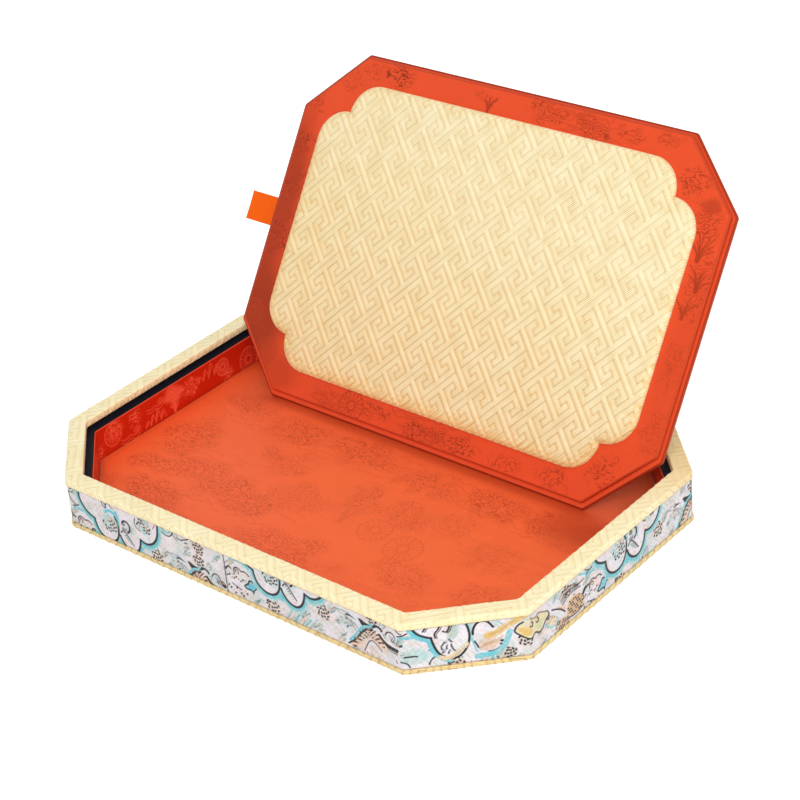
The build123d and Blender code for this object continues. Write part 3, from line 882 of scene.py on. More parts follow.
def settle(tree, shader, tint, roughness, gleam):
    """The shader's colour, its roughness and its specular level."""
    for name, value in (("Base Color", tint), ("Roughness", roughness)):
        if isinstance(value, bpy.types.NodeSocket):
            tree.links.new(value, shader.inputs[name])
        else:
            shader.inputs[name].default_value = value
    shader.inputs["Specular IOR Level"].default_value = gleam


RIB_TURN, RIB_PITCH, CROSS_PITCH = 41.5, 0.95, 0.5
SLUB = 0.8


def cream_finish(name, pale, warm, rib_colour, groove_colour, fold_colour):
    """Cream key-fret brocade: thin dark grooves along fine slanting ribs, soft tan folds across
    them, and smooth bars. The ribs fade in and out over the cloth."""
    finish, tree, shader = new_finish(name)
    groove, fold, bar = (painted_value(tree, key) for key in ("groove", "fold", "bar"))
    ribs = threads(tree, RIB_TURN, RIB_PITCH, 0.5)
    cross = threads(tree, RIB_TURN - 90, CROSS_PITCH, 0.3)
    ground = mixed(tree, blotches(tree, 45.0), rgba(pale), rgba(warm))
    slub = blotches(tree, SLUB, 2.0, RIB_TURN, (1.0, 0.2))
    ground = mixed(tree, times(tree, slub, 0.35), ground, rgba(rib_colour))
    dark_rib = arithmetic(tree, "POWER", ribs, 2.5)
    patchy = ranged(tree, blotches(tree, 9.0, 2.0), 0.35, 0.65, 0.4, 1.0)
    share = times(tree, patchy, arithmetic(tree, "SUBTRACT", 1.0, times(tree, bar, 0.25)))
    rib = times(tree, dark_rib, share)
    body = mixed(tree, rib, ground, rgba(rib_colour))
    body = mixed(tree, times(tree, fold, 0.6), body, rgba(fold_colour))
    tint = mixed(tree, times(tree, groove, 0.7), body, rgba(groove_colour))
    settle(tree, shader, tint, 0.5, 0.4)
    shader.inputs["Sheen Weight"].default_value = 0.2
    shader.inputs["Sheen Roughness"].default_value = 0.4
    bump(tree, shader, arithmetic(tree, "SUBTRACT", times(tree, cross, 0.3), rib), 0.1, 0.8)
    return finish


def figured_finish(name, pale, mottled, shaded):
    """Figured side brocade: its colours are woven in, over fine threads that slant both ways."""
    finish, tree, shader = new_finish(name)
    paint = add_node(tree, "ShaderNodeVertexColor", {"layer_name": "paint"}).outputs["Color"]
    weft = threads(tree, 55, 0.42, 0.4)
    warp = threads(tree, -35, 0.5, 0.4)
    weave = times(tree, arithmetic(tree, "ADD", weft, warp), 0.5)
    mottle = mixed(tree, blotches(tree, 1.2, 3.0), rgba(pale), rgba(mottled))
    tint = mixed(tree, 1.0, paint, mottle, "MULTIPLY")
    tint = mixed(tree, times(tree, weave, 0.25), tint, rgba(shaded), "MULTIPLY")
    settle(tree, shader, tint, 0.5, 0.3)
    bump(tree, shader, weave, 0.06, 0.8)
    return finish


def jacquard_finish(name, figure_colour, cast, lustre):
    """Red satin jacquard: a fine grain of slubs on an orange-red satin, and the woven figures,
    which lie the other way and so look deeper or paler. Where there is leafage, fine outlines run
    along the levels of a noise. lustre is the satin's refractive index."""
    finish, tree, shader = new_finish(name)
    figure, leafage = (painted_value(tree, key) for key in ("figure", "leafage"))
    weft = threads(tree, 52, 0.36, 0.3)
    slub = blotches(tree, SLUB, 2.0, 38, (1.0, 0.3))
    cloudy = blotches(tree, 30.0, 2.0)
    satin = mixed(tree, cloudy, rgba(cast), rgba(cast * 0.84))
    tint = mixed(tree, times(tree, slub, 0.32), satin, rgba(cast * 0.55))
    levels = arithmetic(tree, "FRACT", times(tree, blotches(tree, 8.0, 1.7, 10, (1.0, 1.7)), 8.0))
    away = arithmetic(tree, "ABSOLUTE", arithmetic(tree, "SUBTRACT", levels, 0.5))
    outline = ranged(tree, away, 0.1, 0.26, 1.0, 0.04)
    tone = arithmetic(tree, "MAXIMUM", figure, times(tree, leafage, outline))
    tint = mixed(tree, tone, tint, rgba(figure_colour))
    settle(tree, shader, tint, arithmetic(tree, "ADD", 0.4, times(tree, tone, 0.2)), 0.5)
    shader.inputs["IOR"].default_value = lustre
    shader.inputs["Specular Tint"].default_value = (1.0, 0.40, 0.17, 1.0)
    bump(tree, shader, arithmetic(tree, "ADD", weft, times(tree, slub, 0.8)), 0.04, 0.6)
    return finish


def plain_cloth_finish(name, colour, pale, pitch, roughness, gleam):
    """Plain woven cloth: warp and weft cross at right angles."""
    finish, tree, shader = new_finish(name)
    weft, warp = threads(tree, 0, pitch, 0.3), threads(tree, 90, pitch, 0.3)
    weave = times(tree, weft, warp)
    tint = mixed(tree, times(tree, weave, 0.5), rgba(colour), rgba(pale))
    tint = mixed(tree, times(tree, blotches(tree, 9.0), 0.25), tint, rgba(pale))
    settle(tree, shader, tint, roughness, gleam)
    bump(tree, shader, weave, 0.06, 0.8)
    return finish


def board_finish(name, colour, dark, speck):
    """Board or paper on a CAD solid: a fleck of fibres on Object coordinates."""
    finish, tree, shader = new_finish(name)
    place = add_node(tree, "ShaderNodeTexCoord").outputs["Object"]
    fleck, cloudy = (
        add_node(tree, "ShaderNodeTexNoise", Vector=place, Scale=1 / (size * MM),
                 Detail=detail).outputs["Fac"]
        for size, detail in ((speck, 4.0), (22, 2.0)))
    share = times(tree, arithmetic(tree, "ADD", fleck, cloudy), 0.5)
    settle(tree, shader, mixed(tree, share, rgba(colour), rgba(dark)), 0.9, 0.5)
    bump(tree, shader, fleck, 0.05, 0.5)
    return finish


CREAM = cream_finish(
    "cream_brocade", srgb(255, 253, 224), srgb(255, 246, 202), srgb(220, 182, 100),
    srgb(196, 150, 64), srgb(234, 180, 92))
RIM_CREAM = cream_finish(
    "rim_brocade", srgb(255, 254, 226), srgb(255, 247, 204), srgb(236, 208, 138),
    srgb(196, 154, 80), srgb(238, 186, 104))
# The base's cream is a darker copy of the cream brocade: partly its twisted grain, partly painted shade
# for its face turned down under the band.
SHADED_EDGE_CREAM = cream_finish(
    "edge_brocade", srgb(250, 232, 176), srgb(238, 212, 150), srgb(200, 162, 96),
    srgb(110, 82, 38), srgb(184, 134, 66))
FIGURED = figured_finish(
    "figured_brocade", srgb(255, 255, 255), srgb(226, 218, 216), srgb(190, 176, 176))
LID_RED = jacquard_finish("lid_jacquard", srgb(108, 14, 4), srgb(242, 80, 42), 1.7)
FLOOR_RED = jacquard_finish("floor_jacquard", srgb(150, 20, 4), srgb(254, 102, 52), 1.8)
WALL_RED = jacquard_finish("red_jacquard", srgb(250, 104, 74), srgb(206, 30, 6), 1.7)
BLACK = plain_cloth_finish("black_cloth", srgb(4, 4, 12), srgb(20, 22, 40), 0.5, 0.6, 0.15)
RIBBON = plain_cloth_finish("ribbon_satin", srgb(246, 94, 8), srgb(252, 116, 20), 0.3, 0.55, 0.1)
BOARD = board_finish("greyboard", srgb(150, 142, 130), srgb(122, 112, 98), 0.6)
PAPER = board_finish("backing_paper", srgb(226, 218, 200), srgb(206, 194, 170), 0.9)


def dress_cad_nodes():
    """The boards stay as the CAD model has them and get the board or paper finish."""
    for name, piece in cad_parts.items():
        finish = PAPER if name in ("base_sheet", "lid_back_sheet") else BOARD
        if not piece.material_slots:
            piece.data.materials.append(finish)
        for slot in piece.material_slots:
            slot.material = finish


# Tray pieces. For each cream cloth: where its fret starts, how deep the relief is and how far it
# is sunk into the cloth, and how strong its tones are; for the rim also how strong the painted
# shade is at its far right, under the leaning lid
RIM_FRET, RIM_RELIEF, RIM_SUNK, RIM_TONE, RIM_LID_SHADE = (60.0, -95.0), 0.24, 0.16, 0.55, 0.8
BASE_FRET, BASE_RELIEF, BASE_SUNK, BASE_TONE = (40.0, -50.0), 0.3, 0.2, 0.9
RECESS_FOLD = 0.3


def rim_cover():
    """Rim cover: a closed profile of inset and height, carried round the tray, with the fret
    sunk and raised along its normal. Its lower inner edge is cut and a little frayed. The foot of
    its outer side carries painted shade where it meets the band, and the far right carries painted
    shade in tan, for the shadow of the leaning lid."""
    path = eight_sided_path(BOX_X, BOX_Y, CORNER, RIM_EASE, RIM_STEP)
    places, moves, run = path
    low, top = RIM_BOTTOM, TRAY_TOP
    outer, inner = RIM_OUTER, RIM_INNER
    hem, side, bend, flat, hidden = 3, 5, 5, 17, 5
    over = np.linspace(outer + FOLD, inner - FOLD, flat + 2)[1:-1]
    profile = np.concatenate([
        [(outer + 0.5, low), (outer + 0.12, low + 0.05), (outer, low + 0.35)],
        np.stack([np.full(side, outer), np.linspace(low + 0.7, top - FOLD - 0.3, side)], 1),
        arc_points((outer + FOLD, top - FOLD), FOLD, 180, 90, bend),
        np.stack([over, np.full(flat, top)], 1),
        arc_points((inner - FOLD, top - FOLD), FOLD, 90, 0, bend),
        np.stack([np.full(side, inner), np.linspace(top - FOLD - 0.3, low + 0.5, side)], 1),
        [(inner, low + 0.02), (inner - CLOTH, low), (inner - CLOTH, top - CLOTH),
         (outer + CLOTH, top - CLOTH), (outer + CLOTH, low + 0.3)]])
    index = np.arange(len(profile))
    seen = len(profile) - hidden
    flat_starts, flat_ends = hem + side + bend - 1, hem + side + bend + flat
    normals = profile_normals(profile)
    length = length_along(profile)
    inwards = np.where(index > flat_ends, length[flat_ends] - length, 0)
    beyond = np.where(index < flat_starts, length[flat_starts] - length, inwards)
    flat_inset = np.clip(profile[:, 0], outer + FOLD, inner - FOLD)
    plan = places[:, None] + flat_inset[None, :, None] * moves[:, None]
    plan = plan + beyond[None, :, None] * outward_of(moves)[:, None]
    parts = fret(plan[..., 0], plan[..., 1], RIM_FRET)
    relief = fret_relief(*parts, RIM_RELIEF) - RIM_SUNK
    relief[:, seen:] = 0
    soft = ripple(run[:, None], length[None], 23, 3) * 0.05
    shaped = profile[None] - (relief + soft)[..., None] * normals[None]
    shaped[:, seen - 1, 1] += np.random.default_rng(5).uniform(-0.35, 0.2, len(run))
    points = swept(path, shaped)
    quads = grid_quads(len(run), len(profile), True, True)

    values = groove_values(*parts, RIM_TONE)
    drop = -profile[:, 1]
    # Painted shade at the foot of the rim's outer side, where it meets the band.
    turned = (profile[:, 1] < low + 1.6) & (profile[:, 0] < outer + 0.6)
    rim_foot_shade = 0.7 * turned * smooth_step(drop, -low - 1.6, -low)
    brink = (profile[:, 0] > inner - 0.45) * (index < seen) * smooth_step(drop, -low - 2.6, -low - 0.6)
    ticks = ripple(run[:, None], run[:, None], 2.2, 7)
    ticks = ticks + 0.5 * ripple(run[:, None], length[None], 1.3, 8)
    # Painted shade: the rim's far right, under the leaning lid, turns tan with darker grooves.
    lid_shade = RIM_LID_SHADE * smooth_step(plan[..., 0], 60, 110) * smooth_step(plan[..., 1], 20, 70)
    values["groove"] = np.maximum(values["groove"], brink * smooth_step(ticks, 0.0, 0.3))
    values["groove"] = np.clip(values["groove"] * (1 + lid_shade), 0, 1)
    values["fold"] = np.maximum.reduce(np.broadcast_arrays(values["fold"], rim_foot_shade, lid_shade, 0.6 * brink))
    piece = make_piece("rim_cloth", points, quads, RIM_CREAM, "tray", "cream_brocade", plan, values)
    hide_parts("rim_cover")


def base_cover():
    """Base cover: cream cloth round the base board's edge, turned in above and below."""
    path = eight_sided_path(BOX_X, BOX_Y, CORNER, BASE_EASE, BASE_STEP)
    places, moves, run = path
    top, r, bend = BASE_TOP, FOLD, 5
    below = [(BASE_TURN_IN, 0), (6, 0), (2, 0)]
    profile = np.concatenate([
        below,
        arc_points((r, r), r, 270, 180, bend),
        [(0, top / 2)],
        arc_points((r, top - r), r, 180, 90, bend),
        [(1.2, top), (4, top), (BASE_TURN_IN, top), (BASE_TURN_IN, top - CLOTH), (CLOTH, top - CLOTH),
         (CLOTH, CLOTH), (BASE_TURN_IN, CLOTH)]])
    length = length_along(profile) - BASE_TURN_IN
    plan = places[:, None] + length[None, :, None] * outward_of(moves)[:, None]
    parts = fret(plan[..., 0], plan[..., 1], BASE_FRET)
    relief = fret_relief(*parts, BASE_RELIEF) - BASE_SUNK
    relief[:, :len(below)] = 0
    relief[:, len(below) + 2 * bend + 1:] = 0
    shaped = profile[None] - relief[..., None] * profile_normals(profile)[None]
    quads = grid_quads(len(run), len(profile), True, True)
    # The darker edge cream carries painted shade.
    piece = make_piece("base_cloth", swept(path, shaped), quads, SHADED_EDGE_CREAM, "tray", "cream_brocade",
                       plan, groove_values(*parts, BASE_TONE))
    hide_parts("base_wrap")


def band_colours(x, y, s, total):
    """The band's cloth: soft washes of colour on the ground, then the figures that reach it."""
    cloth = Cloth(x, y, GROUND)
    for colour, seed, share in ((PEACH, 11, 0.4), (PALE_TEAL, 13, 0.45), (SAGE, 14, 0.3)):
        wash = share * np.clip(1.6 * ripple(x, y, 14, seed) - 0.1, 0, 1).ravel()[:, None]
        cloth.colour = cloth.colour * (1 - wash) + wash * colour
    for turn in (-total, 0.0, total):
        for along, height, figure in BAND_FIGURES:
            if s.min() - FIGURE_REACH < along + turn < s.max() + 5:
                cloth.start = np.array([along + turn, height])
                figure(cloth)
    return cloth


def side_strips():
    """Figured band: four strips of brocade on the walls, butted in the middle of each long and
    short wall, with the threads of the figures raised. The first strip starts at the glued seam,
    which stands a little proud and has a dark ragged line. Each strip's face is a grid, closed by
    one row of faces below, above and behind, and by a face at each end."""
    places, moves, run = eight_sided_path(BOX_X, BOX_Y, CORNER, BAND_EASE, BAND_STEP)
    rows = np.linspace(BASE_TOP, RIM_BOTTOM, BAND_ROWS)
    total = run[-1] + BAND_STEP
    for k, name in enumerate(BAND_NAMES):
        start, end = BAND_CUTS[k], BAND_CUTS[(k + 1) % 4]
        order = np.argsort((run - start) % total)
        order = order[(run[order] - start) % total <= (end - start) % total + 0.35]
        s = start + (run[order] - start) % total
        x, y = np.meshgrid(s, rows, indexing="ij")
        cloth = band_colours(x, y, s, total)
        paint = floats(cloth.colour.reshape(x.shape + (3,)), x, y)
        # Painted shadow along the band's top and bottom edges, under the rim and above the base.
        from_band_edge = np.minimum(y - rows[0], rows[-1] - y)
        paint = paint * (1 - 0.45 * np.exp(-(from_band_edge / 0.45) ** 2))[..., None]
        relief = cloth.height.reshape(x.shape) + 0.05 * ripple(x, y, 30, 12)
        if k == 0:
            relief += 0.3 * np.exp(-((s - start) / 0.6) ** 2)[:, None]
            ragged = s[:, None] - start - 0.4 - 0.35 * ripple(rows, rows, 3.0, 15)
            paint = paint * (1 - 0.9 * np.exp(-(ragged / 0.45) ** 2)[..., None])
        outer = places[order][:, None] + (BAND_FACE - relief)[..., None] * moves[order][:, None]
        outer = np.concatenate([outer, y[..., None]], -1).reshape(-1, 3)
        behind = places[order] + BAND_BACK * moves[order]
        n, m = x.shape
        back = [np.column_stack([behind, np.full(n, height)]) for height in (rows[0], rows[-1])]
        points = np.concatenate([outer, *back])
        below, above = n * m, n * m + n
        low, first, second = np.arange(n) * m, below + np.arange(n), above + np.arange(n)
        high = low + m - 1
        closing = np.array([
            (low[:-1], first[:-1], first[1:], low[1:]),
            (high[:-1], high[1:], second[1:], second[:-1]),
            (first[:-1], second[:-1], second[1:], first[1:])])
        quads = grid_quads(n, m).tolist() + closing.transpose(2, 0, 1).reshape(-1, 4).tolist()
        quads.append([*range(m), above, below])
        quads.append([*range(below - 1, below - m - 1, -1), above - 1, above + n - 1])
        edges = [np.column_stack([s, np.full(n, height)]) for height in (rows[0], rows[-1])]
        place = np.concatenate([np.stack([x, y], -1).reshape(-1, 2), *edges])
        colour = np.concatenate([paint.reshape(-1, 3), np.repeat(GROUND[None], 2 * n, 0)])
        piece = make_piece("side_brocade_" + name, points, quads, FIGURED, "tray", "figured_brocade",
                           place, paint=colour)
        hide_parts("side_band")


def recess_cloth():
    """Black cloth of the recess: it comes down the riser, turns onto the ledge and folds over the
    ledge's inner edge."""
    path = eight_sided_path(BOX_X, BOX_Y, CORNER, RECESS_EASE, RECESS_STEP)
    t, r = CLOTH, RECESS_FOLD
    hidden = [(RIM_INNER - t, RIM_BOTTOM), (RIM_INNER - t, LEDGE_TOP - t), (LEDGE_INNER, LEDGE_TOP - t)]
    profile = np.concatenate([
        hidden,
        arc_points((LEDGE_INNER - r, LEDGE_TOP - r), r, 0, 90, 4),
        np.stack([np.linspace(LEDGE_INNER - 2 * r, RIM_INNER + 2 * r, 6), np.full(6, LEDGE_TOP)], 1),
        arc_points((RIM_INNER + r, LEDGE_TOP + r), r, 270, 180, 4),
        [(RIM_INNER, RIM_BOTTOM - 0.8), (RIM_INNER, RIM_BOTTOM)]])
    run, length = path[2], length_along(profile)
    wave = 0.06 * ripple(run[:, None], length[None], 9, 21)
    wave[:, :len(hidden)] = 0
    shaped = profile[None] + wave[..., None] * np.array([0.0, 1.0])
    place = np.stack(np.broadcast_arrays(run[:, None], length[None]), -1)
    quads = grid_quads(len(run), len(profile), True, True)
    piece = make_piece("recess_cloth", swept(path, shaped), quads, BLACK, "tray", "black_cloth", place)
    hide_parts("recess_lining")


# Jacquard figures. Each is drawn at a place, at a size, and in a depth of tone

def pine(cloth, x, y, size, colour):
    """A pine crown: flat tufts of short needles in tiers."""
    for u, v, w in ((-0.5, 0.0, 0.55), (0.15, 0.3, 0.6), (0.55, -0.1, 0.45), (-0.1, -0.35, 0.5)):
        cx, cy, r = x + u * size, y + v * size, w * size
        cloth.dot(cx, cy, r * 0.8, colour, 0.05, 1.3, 10, soft=0.4 * r, cover=0.5)
        for n in range(9):
            a = math.radians(10 + 20 * n)
            root, tip = (cx, cy - 0.3 * r), (cx + r * math.cos(a), cy - 0.3 * r + 0.9 * r * math.sin(a))
            cloth.line([root, tip], 0.5, colour, 0.06)


def cloud(cloth, x, y, size, colour):
    """A curled cloud: one spiral that opens into a long wavy tail, with a second wave below it."""
    turn = np.linspace(0, 3.4 * math.pi, 26)
    r = 0.5 * size * (1 - turn / 12)
    curl = np.stack([x - 0.4 * size - r * np.cos(turn), y + 0.7 * r * np.sin(turn)], 1)
    cloth.line(curl, 0.5, colour, 0.06, 0)
    for drop in (0.0, 0.35):
        cloth.line([(x - 0.9 * size, y - drop * size), (x - 0.2 * size, y - (0.5 + drop) * size),
                    (x + 0.5 * size, y - (0.1 + drop) * size),
                    (x + 1.1 * size, y - (0.4 + drop) * size),
                    (x + 1.7 * size, y - (0.15 + drop) * size)], 0.5, colour, 0.06)


def fan(cloth, x, y, size, colour):
    """A ribbed disc: rays inside two rings."""
    turn = np.linspace(0, 2 * math.pi, 25)
    for r in (size, 0.3 * size):
        cloth.line(np.stack([x + r * np.cos(turn), y + r * np.sin(turn)], 1), 0.55, colour, 0.06, 0)
    for n in range(16):
        a = n * math.pi / 8
        cloth.line([(x + 0.3 * size * math.cos(a), y + 0.3 * size * math.sin(a)),
                    (x + size * math.cos(a), y + size * math.sin(a))], 0.45, colour, 0.05)


def rocks(cloth, x, y, size, colour):
    """Hills in a row, side by side, with hatching on one side of each."""
    for n in range(4):
        u = x + (n - 1.5) * 0.7 * size
        h = size * (0.9, 1.3, 1.0, 0.6)[n]
        cloth.line([(u - 0.36 * size, y), (u - 0.2 * size, y + 0.7 * h), (u, y + h),
                    (u + 0.22 * size, y + 0.6 * h), (u + 0.36 * size, y)], 0.5, colour, 0.06)
        for m in range(3):
            cloth.line([(u + (0.02 + 0.09 * m) * size, y + h * (0.8 - 0.2 * m)),
                        (u + (0.06 + 0.09 * m) * size, y + h * (0.4 - 0.12 * m))], 0.4, colour, 0.05)


def reeds(cloth, x, y, size, colour):
    """Reeds: curved blades that fan out from one root, each of random height and lean."""
    draw = np.random.default_rng(int(abs(13 * x + 29 * y)) + 1)
    for n in range(11):
        lean = (n - 5) * 0.16 * size + 0.1 * size * draw.standard_normal()
        tall = draw.uniform(0.7, 1.6) * size
        root = y - 0.8 * size
        cloth.line([(x + 0.02 * size * (n - 5), root), (x + 0.2 * lean, root + 0.55 * tall),
                    (x + lean, root + tall)], 0.6, colour, 0.05)


def shore(cloth, x, y, size, colour):
    """A shore in outline: long wavering lines, one over the other, of random length."""
    draw = np.random.default_rng(int(abs(19 * x + 23 * y)) + 1)
    for n in range(5):
        left, right = x - size * draw.uniform(0.5, 1.4), x + size * draw.uniform(0.5, 1.4)
        along = np.linspace(left, right, 14)
        wave = y + (n - 2) * 0.16 * size + 0.07 * size * draw.standard_normal(14)
        cloth.line(np.stack([along, wave], 1), 0.5, colour, 0.05)


def shade(cloth, x, y, size, colour, tall=1.0):
    """A soft patch of deeper tone, laid over the tone that is there."""
    index = cloth.near(np.array([[x, y]]), 1.5 * size * max(tall, 1.0))
    away = np.hypot(cloth.x[index] - x, (cloth.y[index] - y) / tall) / size
    tone = (1 - smooth_step(away, 0.4, 1.3))[:, None] * colour * np.array([1.0, 0, 0])
    cloth.colour[index] = 1 - (1 - cloth.colour[index]) * (1 - tone)


def grove(cloth, x, y, size, colour, tall=1.0):
    """A clump of foliage with a wavering edge at the clump's size. It goes into the second of the
    cloth's numbers, where the finish draws the leaves' outlines, and faintly into the first."""
    index = cloth.near(np.array([[x, y]]), 1.5 * size * max(tall, 1.0))
    u, v = cloth.x[index] - x, cloth.y[index] - y
    seed = int(abs(31 * x + 17 * y)) + 1
    reach = np.hypot(u, v / tall) / size + 0.5 * ripple(u, v, 0.8 * size, seed)
    inside = 1 - smooth_step(reach, 0.5, 1.1)
    leaves = inside[:, None] * colour * np.array([0.1, 1.0, 0.0])
    cloth.colour[index] = np.maximum(cloth.colour[index], leaves)
    cloth.height[index] = np.maximum(cloth.height[index], 0.05 * inside)


FIGURE_KINDS = {kind.__name__: kind for kind in (pine, cloud, fan, rocks, reeds, grove, shore, shade)}


def woven_tone(x, y, figures):
    """Tone of a jacquard from 0, satin ground, to 1, full figure, its leafage from 0 to 1, and its
    raised height."""
    cloth = Cloth(x, y, np.zeros(3), edge=0.25)
    for kind, px, py, size, depth, *shape in figures:
        FIGURE_KINDS[kind](cloth, px, py, size, np.full(3, depth), *shape)
    return [part.reshape(x.shape) for part in (cloth.colour[:, 0], cloth.colour[:, 1], cloth.height)]


# Figures of the inner walls: how many are drawn at random and how far apart they are, and those
# on the long left wall, which stand at set places along the strip
WALL_COUNT, WALL_SPACING = 48, 19
WALL_FIGURES = [
    ("fan", 770, 14, 5, 1.0), ("grove", 796, 14, 7, 1.0), ("pine", 812, 16, 8, 1.0),
    ("reeds", 812, 9, 5, 1.0), ("rocks", 828, 6, 6, 1.0), ("cloud", 846, 9, 6, 1.0),
    ("grove", 860, 17, 7, 1.0)]


def inner_wall_cloth():
    """Red lining of the inner walls: a strip round the tray with a rolled top edge, which carries a
    painted highlight, and figures all along it."""
    path = eight_sided_path(BOX_X, BOX_Y, CORNER, WALL_EASE, WALL_STEP)
    low, top, out, face = FLOOR_CARD, LEDGE_TOP, LINING_OUTER - 0.15, LINING_INNER
    r, bend = (face - out) / 2, 7
    rolled = 2 + bend
    profile = np.concatenate([
        [(LINING_OUTER, low), (LINING_OUTER, top - 2.0)],
        arc_points((out + r, top - r), r, 180, 0, bend),
        np.stack([np.full(WALL_ROWS, face), np.linspace(top - 0.9, low, WALL_ROWS)], 1)])
    run, length = path[2], length_along(profile)
    x, y = np.meshgrid(run, profile[:, 1], indexing="ij")
    draw = np.random.default_rng(31)
    figures = []
    for n in range(WALL_COUNT):
        kind = ("grove", "cloud", "grove", "fan", "grove", "rocks")[n % 6]
        along = 4 + WALL_SPACING * n + draw.uniform(-4, 4)
        figures.append((kind, along, draw.uniform(8, 18), draw.uniform(4.5, 8), 0.9))
    tone, leafage, height = woven_tone(x, y, figures + WALL_FIGURES)
    # Painted highlight: a pale pink line along the rolled top edge, in the finish's figure colour.
    edge_row = np.arange(rolled)
    tone[:, :rolled] = 0.9 * np.exp(-((edge_row - 6) / 1.6) ** 2)
    leafage[:, :rolled] = 0
    height[:, :rolled] = 0
    swell = 0.08 * np.maximum(0, ripple(x, y, 26, 32)) * (np.arange(len(profile)) > rolled)
    shaped = np.repeat(profile[None], len(run), 0)
    shaped[..., 0] += height + swell
    place = np.stack(np.broadcast_arrays(run[:, None], length[None]), -1)
    quads = grid_quads(len(run), len(profile), True, True)
    values = {"figure": 0.7 * tone, "leafage": 0.8 * leafage}
    piece = make_piece("inner_wall_cloth", swept(path, shaped), quads, WALL_RED, "tray", "red_jacquard",
                       place, values)
    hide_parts("inner_lining")


def octagon_rows(half_x, half_y, leg, cell):
    """Grid over an eight-sided plate: each row across it is as wide as the plate is there."""
    count = int(round(2 * half_y / cell))
    rows = np.linspace(-half_y, half_y, count + 1)
    for edge in (-half_y + leg, half_y - leg):
        rows[np.argmin(abs(rows - edge))] = edge
    width = half_x - np.clip(abs(rows) - (half_y - leg), 0, None)
    share = np.linspace(-1, 1, int(round(2 * half_x / cell)) + 1)
    return share[:, None] * width[None], np.broadcast_to(rows[None], (len(share), len(rows)))


def bordered(border, place, values):
    """The places and numbers of a grid's points, with those of its border once more for the
    closed sheet's lower edge."""
    place = place.reshape(-1, 2)
    both = {key: np.append(value, value.ravel()[border]) for key, value in values.items()}
    return np.concatenate([place, place[border]]), both


def closed_sheet(top, thickness):
    """Points and faces of a sheet: a grid on top, its border dropped by thickness, a flat back."""
    n, m = top.shape[:2]
    index = np.arange(n * m).reshape(n, m)
    border = np.concatenate([index[:, 0], index[-1, 1:], index[-2::-1, -1], index[0, -2:0:-1]])
    low = top.reshape(-1, 3)[border].copy()
    low[:, 2] = thickness
    under = n * m + np.arange(len(border))
    edge = np.stack([border, np.roll(border, -1), np.roll(under, -1), under], 1)
    faces = grid_quads(n, m).tolist() + edge.tolist() + [under[::-1].tolist()]
    return np.concatenate([top.reshape(-1, 3), low]), faces, border


# The "shade" entries are painted shade: beside the lid's foot at the right and at the left wall, and
# faintly along the front wall.
FLOOR_FIGURES = [
    ("shore", -84, -30, 26, 0.3), ("shore", -46, -52, 28, 0.34), ("shore", -96, -66, 24, 0.36),
    ("shore", -8, -76, 30, 0.34), ("shore", 40, -86, 22, 0.34), ("shore", -60, -86, 22, 0.36),
    ("shore", -100, 14, 24, 0.3), ("shore", -50, 14, 26, 0.34), ("shore", 4, 16, 28, 0.36),
    ("shore", 56, 16, 26, 0.4), ("shore", 100, 12, 22, 0.44), ("shore", 96, -24, 20, 0.24),
    ("shore", 70, -62, 20, 0.26), ("shore", 6, -30, 18, 0.2), ("fan", 28, -31, 9, 0.4),
    ("fan", 50, -36, 10, 0.4), ("grove", 34, -14, 18, 0.6, 0.8), ("grove", 60, -8, 14, 0.5),
    ("grove", 6, -12, 10, 0.6, 1.6), ("reeds", 8, -26, 12, 0.26), ("grove", 62, -54, 22, 0.6, 0.6),
    ("grove", -22, -30, 22, 0.5, 0.6), ("grove", -2, -68, 34, 0.7, 0.45),
    ("grove", 36, -84, 24, 0.8, 0.4), ("grove", -54, -46, 32, 0.8, 0.4),
    ("grove", -86, -38, 24, 0.7, 0.5), ("cloud", -62, -4, 9, 0.5), ("grove", -50, -8, 18, 0.6, 0.7),
    ("grove", -92, -70, 28, 0.9, 0.5), ("cloud", -88, -58, 9, 0.6),
    ("grove", -112, -18, 18, 0.8, 1.2), ("grove", -108, -46, 20, 0.8, 0.5),
    ("rocks", -98, -84, 10, 0.6), ("grove", -58, -82, 24, 0.9, 0.45), ("grove", 92, -18, 14, 0.5),
    ("grove", 106, -50, 16, 0.6), ("grove", -66, 18, 24, 0.8, 0.5),
    ("grove", -106, 26, 20, 0.8, 0.7), ("grove", -22, 20, 26, 0.8, 0.5), ("cloud", -8, 22, 9, 0.5),
    ("grove", 24, 14, 20, 0.7, 0.6), ("grove", 66, 18, 24, 0.9, 0.6),
    ("grove", 100, 20, 20, 1.0, 0.7), ("pine", 118, 22, 12, 0.5), ("cloud", -110, 44, 9, 0.5),
    ("rocks", -40, 52, 12, 0.4), ("pine", 20, 60, 14, 0.4), ("grove", 76, 56, 14, 0.6),
    ("grove", -80, 76, 14, 0.6), ("rocks", 96, 76, 10, 0.4), ("grove", 66, -84, 16, 0.7, 0.6),
    ("grove", -30, 66, 16, 0.5), ("grove", -120, 70, 10, 0.6), ("shade", 116, 22, 28, 0.55, 0.7),
    ("shade", -70, -84, 34, 0.14, 0.3), ("shade", 20, -92, 60, 0.14, 0.25),
    ("shade", -112, 40, 18, 0.3)]

# Drag lines of the floor cloth: place, length, width and rise
DRAG_LINES = [
    (112, -12, 40, 2.2, 0.22), (118, -19, 30, 1.8, 0.16), (100, -4, 34, 2.6, 0.14),
    (-104, -20, 30, 3.0, 0.12), (-20, 2, 50, 4.0, 0.1)]

# Where the lid's foot stands on the floor cloth, and how wide and deep the painted contact shadow
# along it is
FOOT_LINE, FOOT_SHADOW_WIDTH, FOOT_SHADOW_TONE = 34.5, 3.6, 0.42


